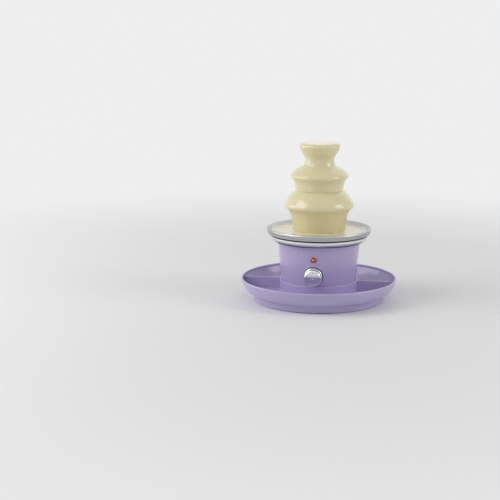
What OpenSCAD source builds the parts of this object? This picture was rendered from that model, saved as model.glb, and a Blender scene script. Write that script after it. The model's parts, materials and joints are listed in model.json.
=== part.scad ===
// Chocolate fountain: a serving tray, a motor housing that carries a heated bowl, and a tower
// of two tiers and a crown, with an auger inside that lifts the chocolate to the top.
// Millimetres. The origin is on the table under the tower's axis, +Z is up, the front is -Y.

/* [Serving tray] */
// Outer diameter of the tray's rim
tray_rim_d = 300; // [288:1:320]
// Height of the tray's rim above the table
tray_rim_h = 42.5; // [40:0.5:46]
// Diameter of the skirt below the tray's ledge
tray_skirt_d = 256; // [246:1:262]
// Height of the ledge above the table
tray_skirt_h = 15; // [13:0.5:18]
// Wall thickness of the tray
tray_wall = 2.4; // [2:0.1:3]
// Radius of the bead along the tray's rim
tray_bead_r = 2; // [1.6:0.1:2.4]
// Height of the collar around the housing, above the tray's floor
collar_h = 21.6; // [17:0.2:23]
// Number of ribs that divide the tray
rib_count = 2; // [2:1:6]
// Number of pads under the tray
pad_count = 6; // [4:1:8]
// Diameter of a pad under the tray
pad_d = 14; // [10:1:18]

/* [Housing] */
// Diameter of the housing at its bottom edge
housing_foot_d = 140; // [137:0.5:148]
// How far the housing's top edge stands inside the bowl's rim
housing_inset = 21.2; // [18:0.1:23]
// Height of the housing from bottom edge to top edge
housing_h = 95; // [92:0.5:102]
// Wall thickness of the housing
housing_wall = 2.6; // [2:0.1:3]
// Height of the rubber feet between the housing and the tray
base_foot_h = 3; // [2:0.5:5]

/* [Bowl and trim ring] */
// Outer diameter of the bowl's rolled rim
bowl_d = 200; // [192:1:208]
// Depth of the bowl from its rim to its floor
bowl_depth = 38; // [34:0.5:41]
// Sheet thickness of the bowl
bowl_t = 0.9; // [0.7:0.1:1.2]
// Radius of the rolled rim
bowl_lip_r = 2.7; // [2.2:0.1:3.2]
// Height of the turned-down skirt, from the top of the rim
bowl_skirt_h = 10.8; // [9:0.1:13]
// Height of the trim ring below the bowl's skirt
trim_h = 9.6; // [8:0.1:11]
// How far the trim ring stands inside the bowl's rim
trim_inset = 5.5; // [4.5:0.1:8]
// Width of the dark joint between the trim ring and the bowl's skirt
trim_joint = 2.6; // [1.8:0.1:3.4]
// Height of the rubber ring between the housing and the trim ring
trim_seal_h = 1.8; // [1.2:0.1:2.4]

/* [Tower] */
// Bore of the tower's tube, in which the auger turns
tube_bore_d = 39; // [37:0.5:40]
// Diameter of the lower tier's rim
lower_tier_d = 122; // [114:1:130]
// Height of the lower tier's rim above the bowl's rim
lower_tier_h = 42.6; // [38:0.2:46]
// Diameter of the middle tier's rim
middle_tier_d = 102; // [96:1:108]
// Height of the middle tier's rim above the lower tier's rim
middle_tier_h = 57; // [54:0.5:62]
// Diameter of the crown's rim
crown_d = 68.4; // [64:0.2:72]
// Height of the crown's rim above the middle tier's rim
crown_h = 56; // [53:0.5:60]
// Wall thickness of the tiers
tier_wall = 1.8; // [1.4:0.1:2.2]
// Number of studs that hold the tower's foot
stud_count = 3; // [2:1:4]

/* [Chocolate] */
// Thickness of the film that runs over the tiers
film_t = 2.8; // [2:0.1:3.4]
// Radius of the rounded lip that the film makes on the lower tier's rim
lower_lip_r = 6; // [5:0.1:7]
// Radius of the rounded lip that the film makes on the middle tier's rim
middle_lip_r = 5.2; // [4.6:0.1:6]
// Radius of the rounded lip that the film makes on the crown's rim
crown_lip_r = 6; // [5:0.1:7]
// Depth of the chocolate's level below the bowl's rim
pool_drop = 5.6; // [4:0.2:12]
// Diameter of the lower curtain where it meets the pool
lower_fall_d = 102; // [96:1:108]
// Diameter of the middle curtain where it meets the lower tier
middle_fall_d = 91; // [86:1:95]

/* [Auger] */
// Gap between the auger's flight and the tube's bore
auger_gap = 1; // [0.6:0.1:1.6]
// Diameter of the auger's core
auger_core_d = 14; // [13:0.5:17]
// Rise of the flight in one turn
auger_pitch = 26; // [22:1:30]
// Thickness of the flight along the axis
flight_t = 2.6; // [2:0.1:3.4]

/* [Gear train] */
// Module of all gears
gear_m = 1; // [0.9:0.05:1.05]
// Teeth of the output gear on the drive shaft
output_teeth = 56; // [48:1:58]
// Teeth of both pinions
pinion_teeth = 14; // [13:1:15]
// Teeth of the compound gear's large wheel
idler_teeth = 42; // [36:1:44]
// Play between meshed teeth along the pitch circle
gear_lash = 0.2; // [0.15:0.01:0.3]
// Diameter of the drive shaft
shaft_d = 8; // [7:0.5:9]

/* [Controls] */
// Diameter of the selector knob
knob_d = 34; // [30:0.5:38]
// Height of the knob off the housing
knob_h = 15; // [12:0.5:18]
// How far the knob's face bulges
knob_dome = 1.2; // [0.6:0.1:1.8]
// Gap between the collar's top and the knob's lower edge
knob_gap = 2.6; // [1.5:0.1:5]
// Number of grip grooves around the knob
knob_grooves = 24; // [16:1:32]
// Height of the indicator above the knob's centre
lamp_rise = 32; // [28:0.5:36]
// Diameter of the indicator's lens
lamp_d = 10; // [9:0.5:13]

/* [Fits] */
// Gap between pieces that slip onto each other
slip = 0.15; // [0.1:0.01:0.2]
// Running gap around shafts and pins
run_fit = 0.06; // [0.04:0.01:0.1]
// Gap between pieces that move apart
clear = 0.4; // [0.3:0.05:0.6]

/* [Hidden] */
$fn = 72;
eps = 0.02;

// Tray levels and radii
tray_floor = tray_skirt_h + tray_wall;
collar_top = tray_floor + collar_h;
pad_h = 2.4;
skirt_lift = 1.2;
skirt_draft = 2;
ledge_w = 4;
skirt_r = tray_skirt_d / 2;
flare_r = skirt_r + ledge_w;
bead_c = [tray_rim_d / 2 - tray_bead_r, tray_rim_h - tray_bead_r];
pad_ring_r = skirt_r - pad_d / 2 - 9;
rib_t = 2.4;
rib_top = collar_top - 1;

// Housing levels and taper
housing_z0 = tray_floor + base_foot_h;
housing_z1 = housing_z0 + housing_h;
housing_top_d = bowl_d - 2 * housing_inset;
housing_slope = (housing_top_d - housing_foot_d) / 2 / housing_h;
wall_tilt = atan(housing_slope);
function housing_r(z) = housing_foot_d / 2 + housing_slope * (z - housing_z0);
collar_in_r = housing_r(collar_top) + clear + slip;
collar_out_r = collar_in_r + tray_wall;
collar_mid_r = (collar_in_r + collar_out_r) / 2;
plate_t = 2.6;
plate_r = housing_r(housing_z0) - housing_wall - 0.3;
boss_ring_r = plate_r - 8;
screw_turn = 56.5;
block_r = plate_r - 26.6;
boss_h = 14;
screw_r = 1.6;
head_r = 3.4;
head_h = 2;

// Places of the controls on the housing's wall
knob_z = collar_top + knob_gap + knob_d / 2;
lamp_z = knob_z + lamp_rise;
gland_z = collar_top + 14;
seat_out = 0.5;
seat_in = housing_wall + 1.3;

// Trim ring and bowl
trim_d = bowl_d - 2 * trim_inset;
trim_z0 = housing_z1 + trim_seal_h;
trim_z1 = trim_z0 + trim_h;
spigot_h = 4;
spigot_r = housing_r(housing_z1 - spigot_h) - housing_wall - slip;
bowl_rim_z = trim_z1 + trim_joint + bowl_skirt_h;
bowl_floor_z = bowl_rim_z - bowl_depth;
bowl_fillet = 12;
skirt_tilt = 16;
lip_c = [bowl_d / 2 - bowl_lip_r, bowl_rim_z - bowl_lip_r];
seat_inset = 5.2;
bowl_seat = [spigot_r - seat_inset, housing_z1];
lip_v = lip_c - bowl_seat;
cone_a = atan2(lip_v[0], lip_v[1]) - asin(bowl_lip_r / norm(lip_v));
fillet_s = (bowl_floor_z + bowl_fillet - bowl_seat[1] - bowl_fillet * sin(cone_a)) / cos(cone_a);
fillet_c = [
  bowl_seat[0] - bowl_fillet * cos(cone_a) + fillet_s * sin(cone_a),
  bowl_floor_z + bowl_fillet
];
bowl_under = bowl_floor_z - bowl_t;
pool_z = bowl_rim_z - pool_drop;

// Hub of the bowl
shaft_r = shaft_d / 2;
bush_r = shaft_r + 5.6;
flange_r = bush_r + 4.9;
gasket_t = 1.5;
flange_t = 3;
bush_top = bowl_floor_z + 10;
seal_h = 3;
seal_r = shaft_r + 2.8;

// Heater below the bowl
element_r = 3.2;
element_ring_r = fillet_c[0] - 11;
rod_r = 2;
rod_ring_r = fillet_c[0] - 3;
heater_plate_r = fillet_c[0] + 2;
heater_plate_t = 2;
heater_plate_top = bowl_under - 2 * element_r - 0.2;
heater_plate_z = heater_plate_top - heater_plate_t;
nut_h = 4;
rod_angles = [38, 170, 290];
lead_angles = [285, 255];
lead_r = 1.6;
lead_h = 16;

// Gear train: the compound gear lies behind the shaft, the motor beside it
pressure = 25;
output_r = gear_m * output_teeth / 2;
pinion_r = gear_m * pinion_teeth / 2;
idler_r = gear_m * idler_teeth / 2;
idler_at = [0, output_r + pinion_r];
motor_dir = 190;
motor_at = idler_at + (idler_r + pinion_r) * [cos(motor_dir), sin(motor_dir)];
case_wall = 2;
case_z = housing_z0 + plate_t + 4;
case_floor = case_z + 2;
output_z = case_floor + 2;
output_w = 7;
idler_z = output_z + output_w + 1.4;
idler_w = 5.5;
lid_z = idler_z + idler_w + 2;
lid_t = 2.5;
tip_gap = 2;
idler_pin_r = 2;
rotor_shaft_r = 1.5;
motor_r = 18;
motor_z = lid_z + lid_t;
motor_h = 27;
cap_h = 3.5;
can_wall = 1.2;

// Tower levels and radii
tube_bore_r = tube_bore_d / 2;
tube_step = 1.2;
top_tube_r = tube_bore_r + 2;
middle_tube_r = top_tube_r + tube_step;
lower_tube_r = middle_tube_r + tube_step;
foot_z = bowl_floor_z + clear;
foot_t = 3;
foot_r = tube_bore_r + 14;
stud_r = 2.2;
stud_ring_r = tube_bore_r + 9;
inlet_w = 17;
inlet_h = 21;
lower_rim = [lower_tier_d / 2, bowl_rim_z + lower_tier_h];
middle_rim = [middle_tier_d / 2, lower_rim[1] + middle_tier_h];
crown_rim = [crown_d / 2, middle_rim[1] + crown_h];
lower_rise = 36.5;
middle_rise = 21.5;
hub_wall = 2.2;
hub_drop = 9;
lower_hub = [middle_tube_r + slip + hub_wall, lower_rim[1] + lower_rise];
middle_hub = [top_tube_r + slip + hub_wall, middle_rim[1] + middle_rise];
lower_seat_z = lower_hub[1] - hub_drop;
middle_seat_z = middle_hub[1] - hub_drop;
crown_z = middle_hub[1] + 0.6;
crown_floor = crown_z + 16;
tube_top = crown_floor + 3;

// Film over the tiers
film_gap = 0.12;
crown_film = film_t + 0.2;

// Auger
auger_r = tube_bore_r - auger_gap;
auger_core_r = auger_core_d / 2;
auger_z0 = bush_top + 1.6;
auger_z1 = tube_top + 2;
flight_z0 = auger_z0 + 1.5;
pin_r = 1.5;
pin_z = auger_z0 + 5.5;
socket_z = auger_z0 + 20;

// Knob
knob_z0 = seat_out + 0.6;
knob_edge = knob_h - knob_dome;
knob_face_r = knob_d / 2 - 2.2;
knob_ball_r = (knob_face_r * knob_face_r + knob_dome * knob_dome) / (2 * knob_dome);
spindle_r = 3;
switch_nose_r = 4.5;

// Points of an arc around c, from angle a0 to a1 in n steps
function arc(c, r, a0, a1, n = 8) =
  [for (i = [0 : n]) let (a = a0 + (a1 - a0) * i / n) c + r * [cos(a), sin(a)]];

// Points of a cubic curve with four control points
function cubic(p, n = 14) = [
  for (i = [0 : n])
    let (t = i / n, s = 1 - t)
      s * s * s * p[0] + 3 * s * s * t * p[1] + 3 * s * t * t * p[2] + t * t * t * p[3]
];

// Points in the opposite order
function back(p) = [for (i = [len(p) - 1 : -1 : 0]) p[i]];

// Unit vector to the left of the line from a to b
function left(a, b) = let (d = (b - a) / norm(b - a)) [-d[1], d[0]];

// Line moved d to its left
function beside(p, d) = [
  for (i = [0 : len(p) - 1])
    p[i] + d * left(p[max(i - 1, 0)], p[min(i + 1, len(p) - 1)])
];

// Line moved to its left by each point's own distance in d
function coat(p, d) = [
  for (i = [0 : len(p) - 1])
    p[i] + d[i] * left(p[max(i - 1, 0)], p[min(i + 1, len(p) - 1)])
];

// Distances for n points that grow smoothly from d0 to d1
function growing(n, d0, d1) = [
  for (i = [0 : n - 1])
    let (t = i / (n - 1)) d0 + (d1 - d0) * t * t * (3 - 2 * t)
];

// Solid of revolution about Z
module spin(p) rotate_extrude(convexity = 8) polygon(p);

// Ring between two radii
module ring(r1, r0, h) {
  difference() {
    cylinder(r = r1, h = h);
    translate([0, 0, -1])
      cylinder(r = r0, h = h + 2);
  }
}

// Copies around Z, the first one at angle a
module around(n, a = 0) {
  for (i = [0 : n - 1])
    rotate([0, 0, a + 360 * i / n])
      children();
}

// Frame on the housing's wall: local +Z points out of the wall, local +Y up along it
module on_wall(turn, z) {
  rotate([0, 0, turn])
    translate([0, -housing_r(z), z])
      rotate([90 + wall_tilt, 0, 0])
        children();
}

// Flat seat on the curved wall, inside and outside
module wall_seat(r) {
  translate([0, 0, -seat_in])
    cylinder(r = r, h = seat_in + seat_out);
}

// Screw with a pan head at the bottom, its shank pointing up
module screw(shank_r, shank_h) {
  cylinder(r = head_r, h = head_h);
  translate([0, 0, head_h - eps])
    cylinder(r = shank_r, h = shank_h + eps);
}

// Serving tray

// Outer line of the flared wall, from the ledge to the bead
flare = cubic([
  [flare_r, tray_skirt_h],
  [flare_r + 0.52 * (bead_c[0] - flare_r), tray_skirt_h + 0.07 * (bead_c[1] - tray_skirt_h)],
  [flare_r + 0.86 * (bead_c[0] - flare_r), tray_skirt_h + 0.5 * (bead_c[1] - tray_skirt_h)],
  bead_c + tray_bead_r * [cos(-30), sin(-30)]
]);

module serving_tray() {
  collar_c = [collar_mid_r, collar_top - tray_wall / 2];
  outline = concat(
    [[skirt_r - skirt_draft - tray_wall, skirt_lift], [skirt_r - skirt_draft, skirt_lift]],
    [[skirt_r, tray_skirt_h]],
    flare,
    arc(bead_c, tray_bead_r, -20, 190),
    back([for (p = beside(flare, tray_wall)) if (p[1] < bead_c[1] - 1.2) p]),
    arc([collar_out_r + 2, tray_floor + 2], 2, 270, 180, 4),
    arc(collar_c, tray_wall / 2, 0, 180),
    [[collar_in_r, tray_floor], [0, tray_floor], [0, tray_skirt_h]],
    [[skirt_r - tray_wall, tray_skirt_h]]
  );
  color("#b7a3dc") {
    union() {
      spin(outline);
      around(rib_count)
        tray_rib();
      around(pad_count, 30)
        translate([pad_ring_r, 0, pad_h])
          cylinder(r = pad_d / 2 + 1.5, h = tray_skirt_h - pad_h + 0.5);
    }
  }
}

// Rib between the collar and the flared wall
module tray_rib() {
  rib_foot = tray_floor - 0.8;
  inside = concat(
    [[collar_mid_r, rib_foot]],
    beside(flare, tray_wall / 2),
    [[collar_mid_r, tray_rim_h]]
  );
  intersection() {
    spin(inside);
    translate([0, -rib_t / 2, rib_foot])
      cube([tray_rim_d / 2, rib_t, rib_top - rib_foot]);
  }
}

module tray_pads() {
  color("#2b2a30")
    around(pad_count, 30)
      translate([pad_ring_r, 0, 0])
        cylinder(r = pad_d / 2, h = pad_h);
}

// Housing and its base

module motor_housing() {
  in0 = housing_r(housing_z0) - housing_wall;
  in1 = housing_r(housing_z1) - housing_wall;
  outline = [
    [in0, housing_z0],
    [housing_r(housing_z0) - 0.6, housing_z0],
    [housing_r(housing_z0 + 0.6), housing_z0 + 0.6],
    [housing_r(housing_z1), housing_z1],
    [in1, housing_z1]
  ];
  color("#b7a3dc") {
    difference() {
      union() {
        spin(outline);
        on_wall(0, knob_z)
          wall_seat(knob_d / 2 - 3);
        on_wall(0, lamp_z)
          wall_seat(lamp_d / 2 + 2.6);
        on_wall(180, gland_z)
          wall_seat(10);
        around(4, screw_turn)
          housing_boss();
      }
      on_wall(0, knob_z)
        translate([0, 0, -seat_in - 1])
          cylinder(r = switch_nose_r + slip, h = seat_in + 8);
      on_wall(0, lamp_z)
        translate([0, 0, -seat_in - 1])
          cylinder(r = lamp_d / 2 - 0.6 + slip, h = seat_in + 8);
      on_wall(180, gland_z)
        translate([0, 0, -seat_in - 1])
          cylinder(r = 6 + slip, h = seat_in + 8);
      around(4, screw_turn)
        translate([boss_ring_r, 0, housing_z0])
          cylinder(r = screw_r + slip, h = plate_t + boss_h - 1.5);
    }
  }
}

// Screw boss with a web to the housing's wall
module housing_boss() {
  z = housing_z0 + plate_t + 0.1;
  translate([boss_ring_r, 0, z])
    cylinder(r = 4.2, h = boss_h);
  translate([boss_ring_r, -1.2, z])
    cube([housing_r(z) - boss_ring_r - 1, 2.4, boss_h]);
}

module base_plate() {
  color("#9c8ac2") {
    difference() {
      union() {
        translate([0, 0, housing_z0])
          cylinder(r = plate_r, h = plate_t);
        gearbox_feet()
          translate([0, 0, housing_z0 + plate_t - eps])
            cylinder(r = 5, h = case_z - housing_z0 - plate_t + eps);
      }
      around(4, screw_turn)
        translate([boss_ring_r, 0, housing_z0 - 1])
          cylinder(r = screw_r + slip, h = plate_t + 2);
      around(4, screw_turn)
        translate([boss_ring_r, 0, housing_z0 - 1])
          cylinder(r = head_r + 0.4, h = 1 + head_h - 0.6);
      for (a = rod_angles)
        rotate([0, 0, a])
          translate([rod_ring_r, 0, housing_z0 - 1])
            cylinder(r = rod_r + slip, h = plate_t + 2);
      for (a = rod_angles)
        rotate([0, 0, a])
          translate([rod_ring_r, 0, housing_z0 - 1])
            cylinder(r = head_r + 0.4, h = 1 + head_h - 0.6);
      gearbox_feet()
        translate([0, 0, housing_z0 - 1])
          cylinder(r = screw_r + slip, h = case_z - housing_z0 + 2);
      gearbox_feet()
        translate([0, 0, housing_z0 - 1])
          cylinder(r = head_r + 0.4, h = 1 + head_h - 0.6);
      for (x = [-12 : 4 : 12])
        translate([x - 1, -34, housing_z0 - 1])
          cube([2, 16, plate_t + 2]);
    }
  }
}

module base_feet() {
  color("#2b2a30")
    around(4)
      translate([plate_r - 11, 0, tray_floor])
        cylinder(r = 6.5, h = base_foot_h);
}

module base_screws() {
  color("#8d9096")
    around(4, screw_turn)
      translate([boss_ring_r, 0, housing_z0 - 0.6])
        screw(screw_r, boss_h - 2);
}

// Trim ring and bowl

// Point of the bowl's cone at height z, moved i to the inside
function on_cone(z, i) =
  [bowl_seat[0] - i / cos(cone_a) + (z - bowl_seat[1]) * tan(cone_a), z];

// Upper surface of the bowl from its hole to the end of its skirt, moved i to the inside
function bowl_line(i) = concat(
  [[bush_r + slip, bowl_floor_z + i]],
  arc(fillet_c, bowl_fillet - i, -90, -cone_a, 6),
  arc(lip_c, bowl_lip_r + i, 180 - cone_a, -skirt_tilt, 12),
  [lip_c + (bowl_lip_r + i) * [cos(skirt_tilt), -sin(skirt_tilt)]
    - (lip_c[1] - bowl_rim_z + bowl_skirt_h - bowl_lip_r * sin(skirt_tilt)) * [tan(skirt_tilt), 1]]
);

module trim_ring() {
  gap = -bowl_t - slip;
  r1 = trim_d / 2;
  r0 = r1 - 7.2;
  outer = cubic([
    [r0, trim_z0],
    [r0 + 5.4, trim_z0 + 0.1 * trim_h],
    [r1, trim_z0 + 0.45 * trim_h],
    [r1, trim_z1 - 0.8]
  ], 10);
  inside = spigot_r - 1.4;
  outline = concat(
    [[spigot_r, housing_z1 - spigot_h], [spigot_r, trim_z0]],
    outer,
    [[r1 - 0.8, trim_z1], on_cone(trim_z1, gap)],
    [on_cone(housing_z1, gap), [inside, housing_z1 - 1.6], [inside, housing_z1 - spigot_h]]
  );
  color("#d6d8dc")
    spin(outline);
}

// Rubber ring under the trim ring
module trim_seal() {
  color("#2b2a30")
    translate([0, 0, housing_z1])
      ring(trim_d / 2 - 8, spigot_r + slip, trim_seal_h);
}

// Rubber ring in the joint between the trim ring and the bowl
module bowl_seal() {
  gap = -bowl_t - slip;
  r = trim_d / 2 - 1.6;
  z = trim_z1 + trim_joint + 0.6;
  color("#2b2a30")
    spin([on_cone(trim_z1, gap), [r, trim_z1], [r, z - 0.6], [r - 0.6, z], on_cone(z, gap)]);
}

module bowl() {
  color("#c9ccd1")
    spin(concat(bowl_line(0), back(bowl_line(-bowl_t))));
}

module bowl_gasket() {
  color("#d9d4cc")
    translate([0, 0, bowl_floor_z])
      ring(flange_r, bush_r + slip, gasket_t);
}

module shaft_bush() {
  z0 = heater_plate_z - nut_h - 3;
  z1 = bowl_floor_z + gasket_t;
  bore = shaft_r + run_fit;
  outline = [
    [bore, z0],
    [bush_r, z0],
    [bush_r, z1],
    [flange_r, z1],
    [flange_r, z1 + flange_t - 1],
    [flange_r - 1, z1 + flange_t],
    [seal_r + 1.6, z1 + flange_t],
    [seal_r + 1.6, bush_top],
    [seal_r, bush_top],
    [seal_r, bush_top - seal_h],
    [bore, bush_top - seal_h]
  ];
  color("#c7a24a")
    spin(outline);
}

module shaft_seal() {
  color("#c9b9a8")
    translate([0, 0, bush_top - seal_h])
      ring(seal_r - eps, shaft_r + run_fit, seal_h + 0.4);
}

module bush_nut() {
  color("#8d9096") {
    translate([0, 0, heater_plate_z - nut_h]) {
      difference() {
        cylinder(r = bush_r + 5, h = nut_h, $fn = 6);
        translate([0, 0, -1])
          cylinder(r = bush_r + eps, h = nut_h + 2);
      }
    }
  }
}

module tower_studs() {
  color("#c9ccd1")
    around(stud_count, 90) {
      translate([stud_ring_r, 0, bowl_floor_z])
        cylinder(r = stud_r, h = 6);
      translate([stud_ring_r, 0, bowl_floor_z + 6 - eps])
        cylinder(r1 = stud_r, r2 = stud_r - 1, h = 1.2);
    }
}

// Heater

module heating_element() {
  z = bowl_under - 0.1 - element_r;
  color("#6e6a66") {
    translate([0, 0, z])
      rotate([0, 0, lead_angles[0]])
        rotate_extrude(angle = 360 + lead_angles[1] - lead_angles[0], convexity = 4)
          translate([element_ring_r, 0])
            circle(r = element_r, $fn = 32);
    for (a = lead_angles)
      rotate([0, 0, a])
        translate([element_ring_r, 0, z - lead_h])
          cylinder(r = lead_r, h = lead_h);
  }
}

module heater_plate() {
  color("#b9bcc0") {
    difference() {
      translate([0, 0, heater_plate_z])
        cylinder(r = heater_plate_r, h = heater_plate_t);
      translate([0, 0, heater_plate_z - 1])
        cylinder(r = bush_r + slip, h = heater_plate_t + 2);
      for (a = rod_angles)
        rotate([0, 0, a])
          translate([rod_ring_r, 0, heater_plate_z - 1])
            cylinder(r = rod_r + slip, h = heater_plate_t + 2);
      for (a = lead_angles)
        rotate([0, 0, a])
          translate([element_ring_r, 0, heater_plate_z - 1])
            cylinder(r = lead_r + 1, h = heater_plate_t + 2);
    }
  }
}

module tie_rods() {
  color("#8d9096")
    for (a = rod_angles)
      rotate([0, 0, a])
        translate([rod_ring_r, 0, 0]) {
          translate([0, 0, housing_z0 - 0.6])
            screw(rod_r, heater_plate_top + 4 - housing_z0 - head_h + 0.6);
          translate([0, 0, heater_plate_top])
            cylinder(r = 3.2, h = 2.6, $fn = 6);
        }
}

module thermostat() {
  color("#3a3a3e")
    rotate([0, 0, 325])
      translate([30, 0, heater_plate_z]) {
        translate([0, 0, -7])
          cylinder(r = 8, h = 7);
        for (x = [-4, 4])
          translate([x - 0.4, -2.4, -13])
            cube([0.8, 4.8, 6.2]);
      }
}

module thermal_fuse() {
  color("#d9d4cc")
    rotate([0, 0, 240])
      translate([30, 0, heater_plate_z - 2.2])
        rotate([90, 0, 0]) {
          translate([0, 0, -6])
            cylinder(r = 2.2, h = 12);
          translate([0, 0, -11])
            cylinder(r = 0.6, h = 22);
        }
}

// Gear train

// Angle in degrees between the involute's start and its point at radius r
function involute(r, base_r) =
  let (t = sqrt(max(0, pow(r / base_r, 2) - 1))) t * 180 / PI - atan(t);

// Outline of a gear with n teeth, the first tooth centred on +X
function gear_outline(n) =
  let (
    pitch_r = gear_m * n / 2,
    base_r = pitch_r * cos(pressure),
    tip_r = pitch_r + gear_m,
    root_r = pitch_r - 1.25 * gear_m,
    start_r = max(base_r, root_r),
    half = 90 / n - gear_lash * 45 / (PI * pitch_r) + involute(pitch_r, base_r),
    root = base_r > root_r ? [root_r] : [],
    flank = [for (i = [0 : 4]) start_r + (tip_r - start_r) * i / 4]
  )
  [
    for (k = [0 : n - 1])
      let (c = 360 * k / n)
        each concat(
          [for (r = root) r * [cos(c - half), sin(c - half)]],
          [for (r = flank) let (a = c - half + involute(r, base_r)) r * [cos(a), sin(a)]],
          [for (r = back(flank)) let (a = c + half - involute(r, base_r)) r * [cos(a), sin(a)]],
          [for (r = root) r * [cos(c + half), sin(c + half)]]
        )
  ];

// Spur gear with a tooth (shift 0) or a gap (shift 0.5) towards angle a
module spur(n, w, a, shift = 0) {
  rotate([0, 0, a + shift * 360 / n])
    linear_extrude(height = w, convexity = 8)
      polygon(gear_outline(n));
}

// Places of the screws that hold the gearbox
module gearbox_feet() {
  for (a = [200, 340])
    rotate([0, 0, a])
      translate([output_r + 8, 0, 0])
        children();
  translate([idler_at[0] + idler_r + 8, idler_at[1], 0])
    children();
}

// Plan of the gearbox, g around the gears
module gearbox_plan(g, h) {
  cylinder(r = output_r + gear_m + g, h = h);
  translate(idler_at)
    cylinder(r = idler_r + gear_m + g, h = h);
  translate(motor_at)
    cylinder(r = pinion_r + gear_m + g, h = h);
}

module gearbox_case() {
  color("#6f7278") {
    difference() {
      union() {
        difference() {
          translate([0, 0, case_z])
            gearbox_plan(tip_gap + case_wall, lid_z - case_z);
          translate([0, 0, case_floor])
            gearbox_plan(tip_gap, lid_z - case_floor + 1);
        }
        translate([0, 0, case_z])
          cylinder(r = shaft_r + 3, h = output_z - case_z - 0.4);
        translate([idler_at[0], idler_at[1], case_z])
          cylinder(r = idler_pin_r + 2.5, h = output_z - case_z - 0.4);
        gearbox_feet()
          translate([0, 0, case_z])
            cylinder(r = 5, h = lid_z - case_z);
      }
      translate([0, 0, case_z - 1])
        cylinder(r = shaft_r + run_fit, h = 10);
      translate([idler_at[0], idler_at[1], case_z + 0.8])
        cylinder(r = idler_pin_r + eps, h = 10);
      gearbox_feet()
        translate([0, 0, case_z - 1])
          cylinder(r = screw_r + slip, h = lid_z - case_z + 2);
    }
  }
}

module gearbox_lid() {
  color("#7d8087") {
    difference() {
      union() {
        translate([0, 0, lid_z])
          gearbox_plan(tip_gap + case_wall, lid_t);
        translate([0, 0, lid_z])
          cylinder(r = shaft_r + 3, h = lid_t + 4);
        translate([motor_at[0], motor_at[1], lid_z])
          cylinder(r = motor_r, h = lid_t);
        gearbox_feet()
          translate([0, 0, lid_z])
            cylinder(r = 5, h = lid_t);
      }
      translate([0, 0, lid_z - 1])
        cylinder(r = shaft_r + run_fit, h = lid_t + 6);
      translate([idler_at[0], idler_at[1], lid_z - 1])
        cylinder(r = idler_pin_r + eps, h = lid_t);
      translate([motor_at[0], motor_at[1], lid_z - 1])
        cylinder(r = 5 + slip, h = lid_t + 2);
      gearbox_feet()
        translate([0, 0, lid_z - 1])
          cylinder(r = screw_r + slip, h = lid_t + 2);
    }
  }
}

module gearbox_screws() {
  color("#8d9096")
    gearbox_feet()
      translate([0, 0, housing_z0 - 0.6])
        screw(screw_r, lid_z + lid_t - housing_z0 - head_h);
}

module idler_pin() {
  color("#b9bcc0")
    translate([idler_at[0], idler_at[1], case_z + 0.9])
      cylinder(r = idler_pin_r, h = lid_z + 1.4 - case_z - 0.9);
}

module compound_gear() {
  color("#e4dfd0") {
    translate([idler_at[0], idler_at[1], 0]) {
      difference() {
        union() {
          translate([0, 0, output_z - 0.2])
            spur(pinion_teeth, idler_z - output_z + 0.6, -90, 0.5);
          translate([0, 0, idler_z])
            spur(idler_teeth, idler_w, motor_dir);
        }
        translate([0, 0, output_z - 1])
          cylinder(r = idler_pin_r + run_fit, h = idler_z + idler_w - output_z + 2);
      }
    }
  }
}

module output_gear() {
  color("#e4dfd0") {
    difference() {
      translate([0, 0, output_z])
        spur(output_teeth, output_w, 90);
      translate([0, 0, output_z - 1])
        cylinder(r = shaft_r + eps, h = output_w + 2);
      translate([0, 0, output_z + output_w - 2])
        ring(output_r - 4, shaft_r + 4.5, 3);
    }
  }
}

module drive_shaft() {
  color("#b9bcc0") {
    difference() {
      translate([0, 0, case_z + 0.3])
        cylinder(r = shaft_r, h = socket_z - 1 - case_z - 0.3);
      translate([0, 0, pin_z])
        rotate([90, 0, 0])
          translate([0, 0, -shaft_r - 1])
            cylinder(r = pin_r + eps, h = 2 * shaft_r + 2);
    }
  }
}

module drive_pin() {
  color("#8d9096")
    translate([0, 0, pin_z])
      rotate([90, 0, 0])
        translate([0, 0, 0.6 - auger_core_r])
          cylinder(r = pin_r, h = 2 * auger_core_r - 1.2);
}

// Motor

module motor_can() {
  z0 = motor_z + cap_h;
  z1 = motor_z + motor_h;
  outline = [
    [motor_r - can_wall, z0],
    [motor_r, z0],
    [motor_r, z1 - 1.5],
    [motor_r - 1.5, z1],
    [6, z1],
    [6, z1 + 2.5],
    [0, z1 + 2.5],
    [0, z1 + 1],
    [rotor_shaft_r + run_fit, z1 + 1],
    [rotor_shaft_r + run_fit, z1 - can_wall],
    [motor_r - can_wall, z1 - can_wall]
  ];
  color("#9ea2a8")
    translate(motor_at)
      spin(outline);
}

module motor_end_cap() {
  color("#3a3a3e") {
    translate([motor_at[0], motor_at[1], motor_z]) {
      difference() {
        union() {
          cylinder(r = motor_r, h = cap_h);
          translate([0, 0, -1.5])
            cylinder(r = 5, h = 2);
          for (x = [-8, 8])
            translate([x - 2, motor_r - 6, 1.2])
              cube([4, 11, 0.8]);
        }
        translate([0, 0, -3])
          cylinder(r = rotor_shaft_r + run_fit, h = cap_h + 6);
      }
    }
  }
}

module motor_magnets() {
  r1 = motor_r - can_wall - 0.1;
  color("#4a4644") {
    translate([motor_at[0], motor_at[1], motor_z + cap_h + 4.4]) {
      difference() {
        ring(r1, r1 - 3.4, motor_h - cap_h - 8);
        translate([-2, -motor_r, -1])
          cube([4, 2 * motor_r, motor_h]);
      }
    }
  }
}

module motor_rotor() {
  z0 = idler_z + 0.2;
  color("#8a5a3c") {
    translate(motor_at) {
      translate([0, 0, z0])
        cylinder(r = rotor_shaft_r, h = motor_z + motor_h - z0);
      translate([0, 0, motor_z + cap_h + 4])
        cylinder(r = motor_r - can_wall - 4.4, h = motor_h - cap_h - 7.6);
    }
  }
}

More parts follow.
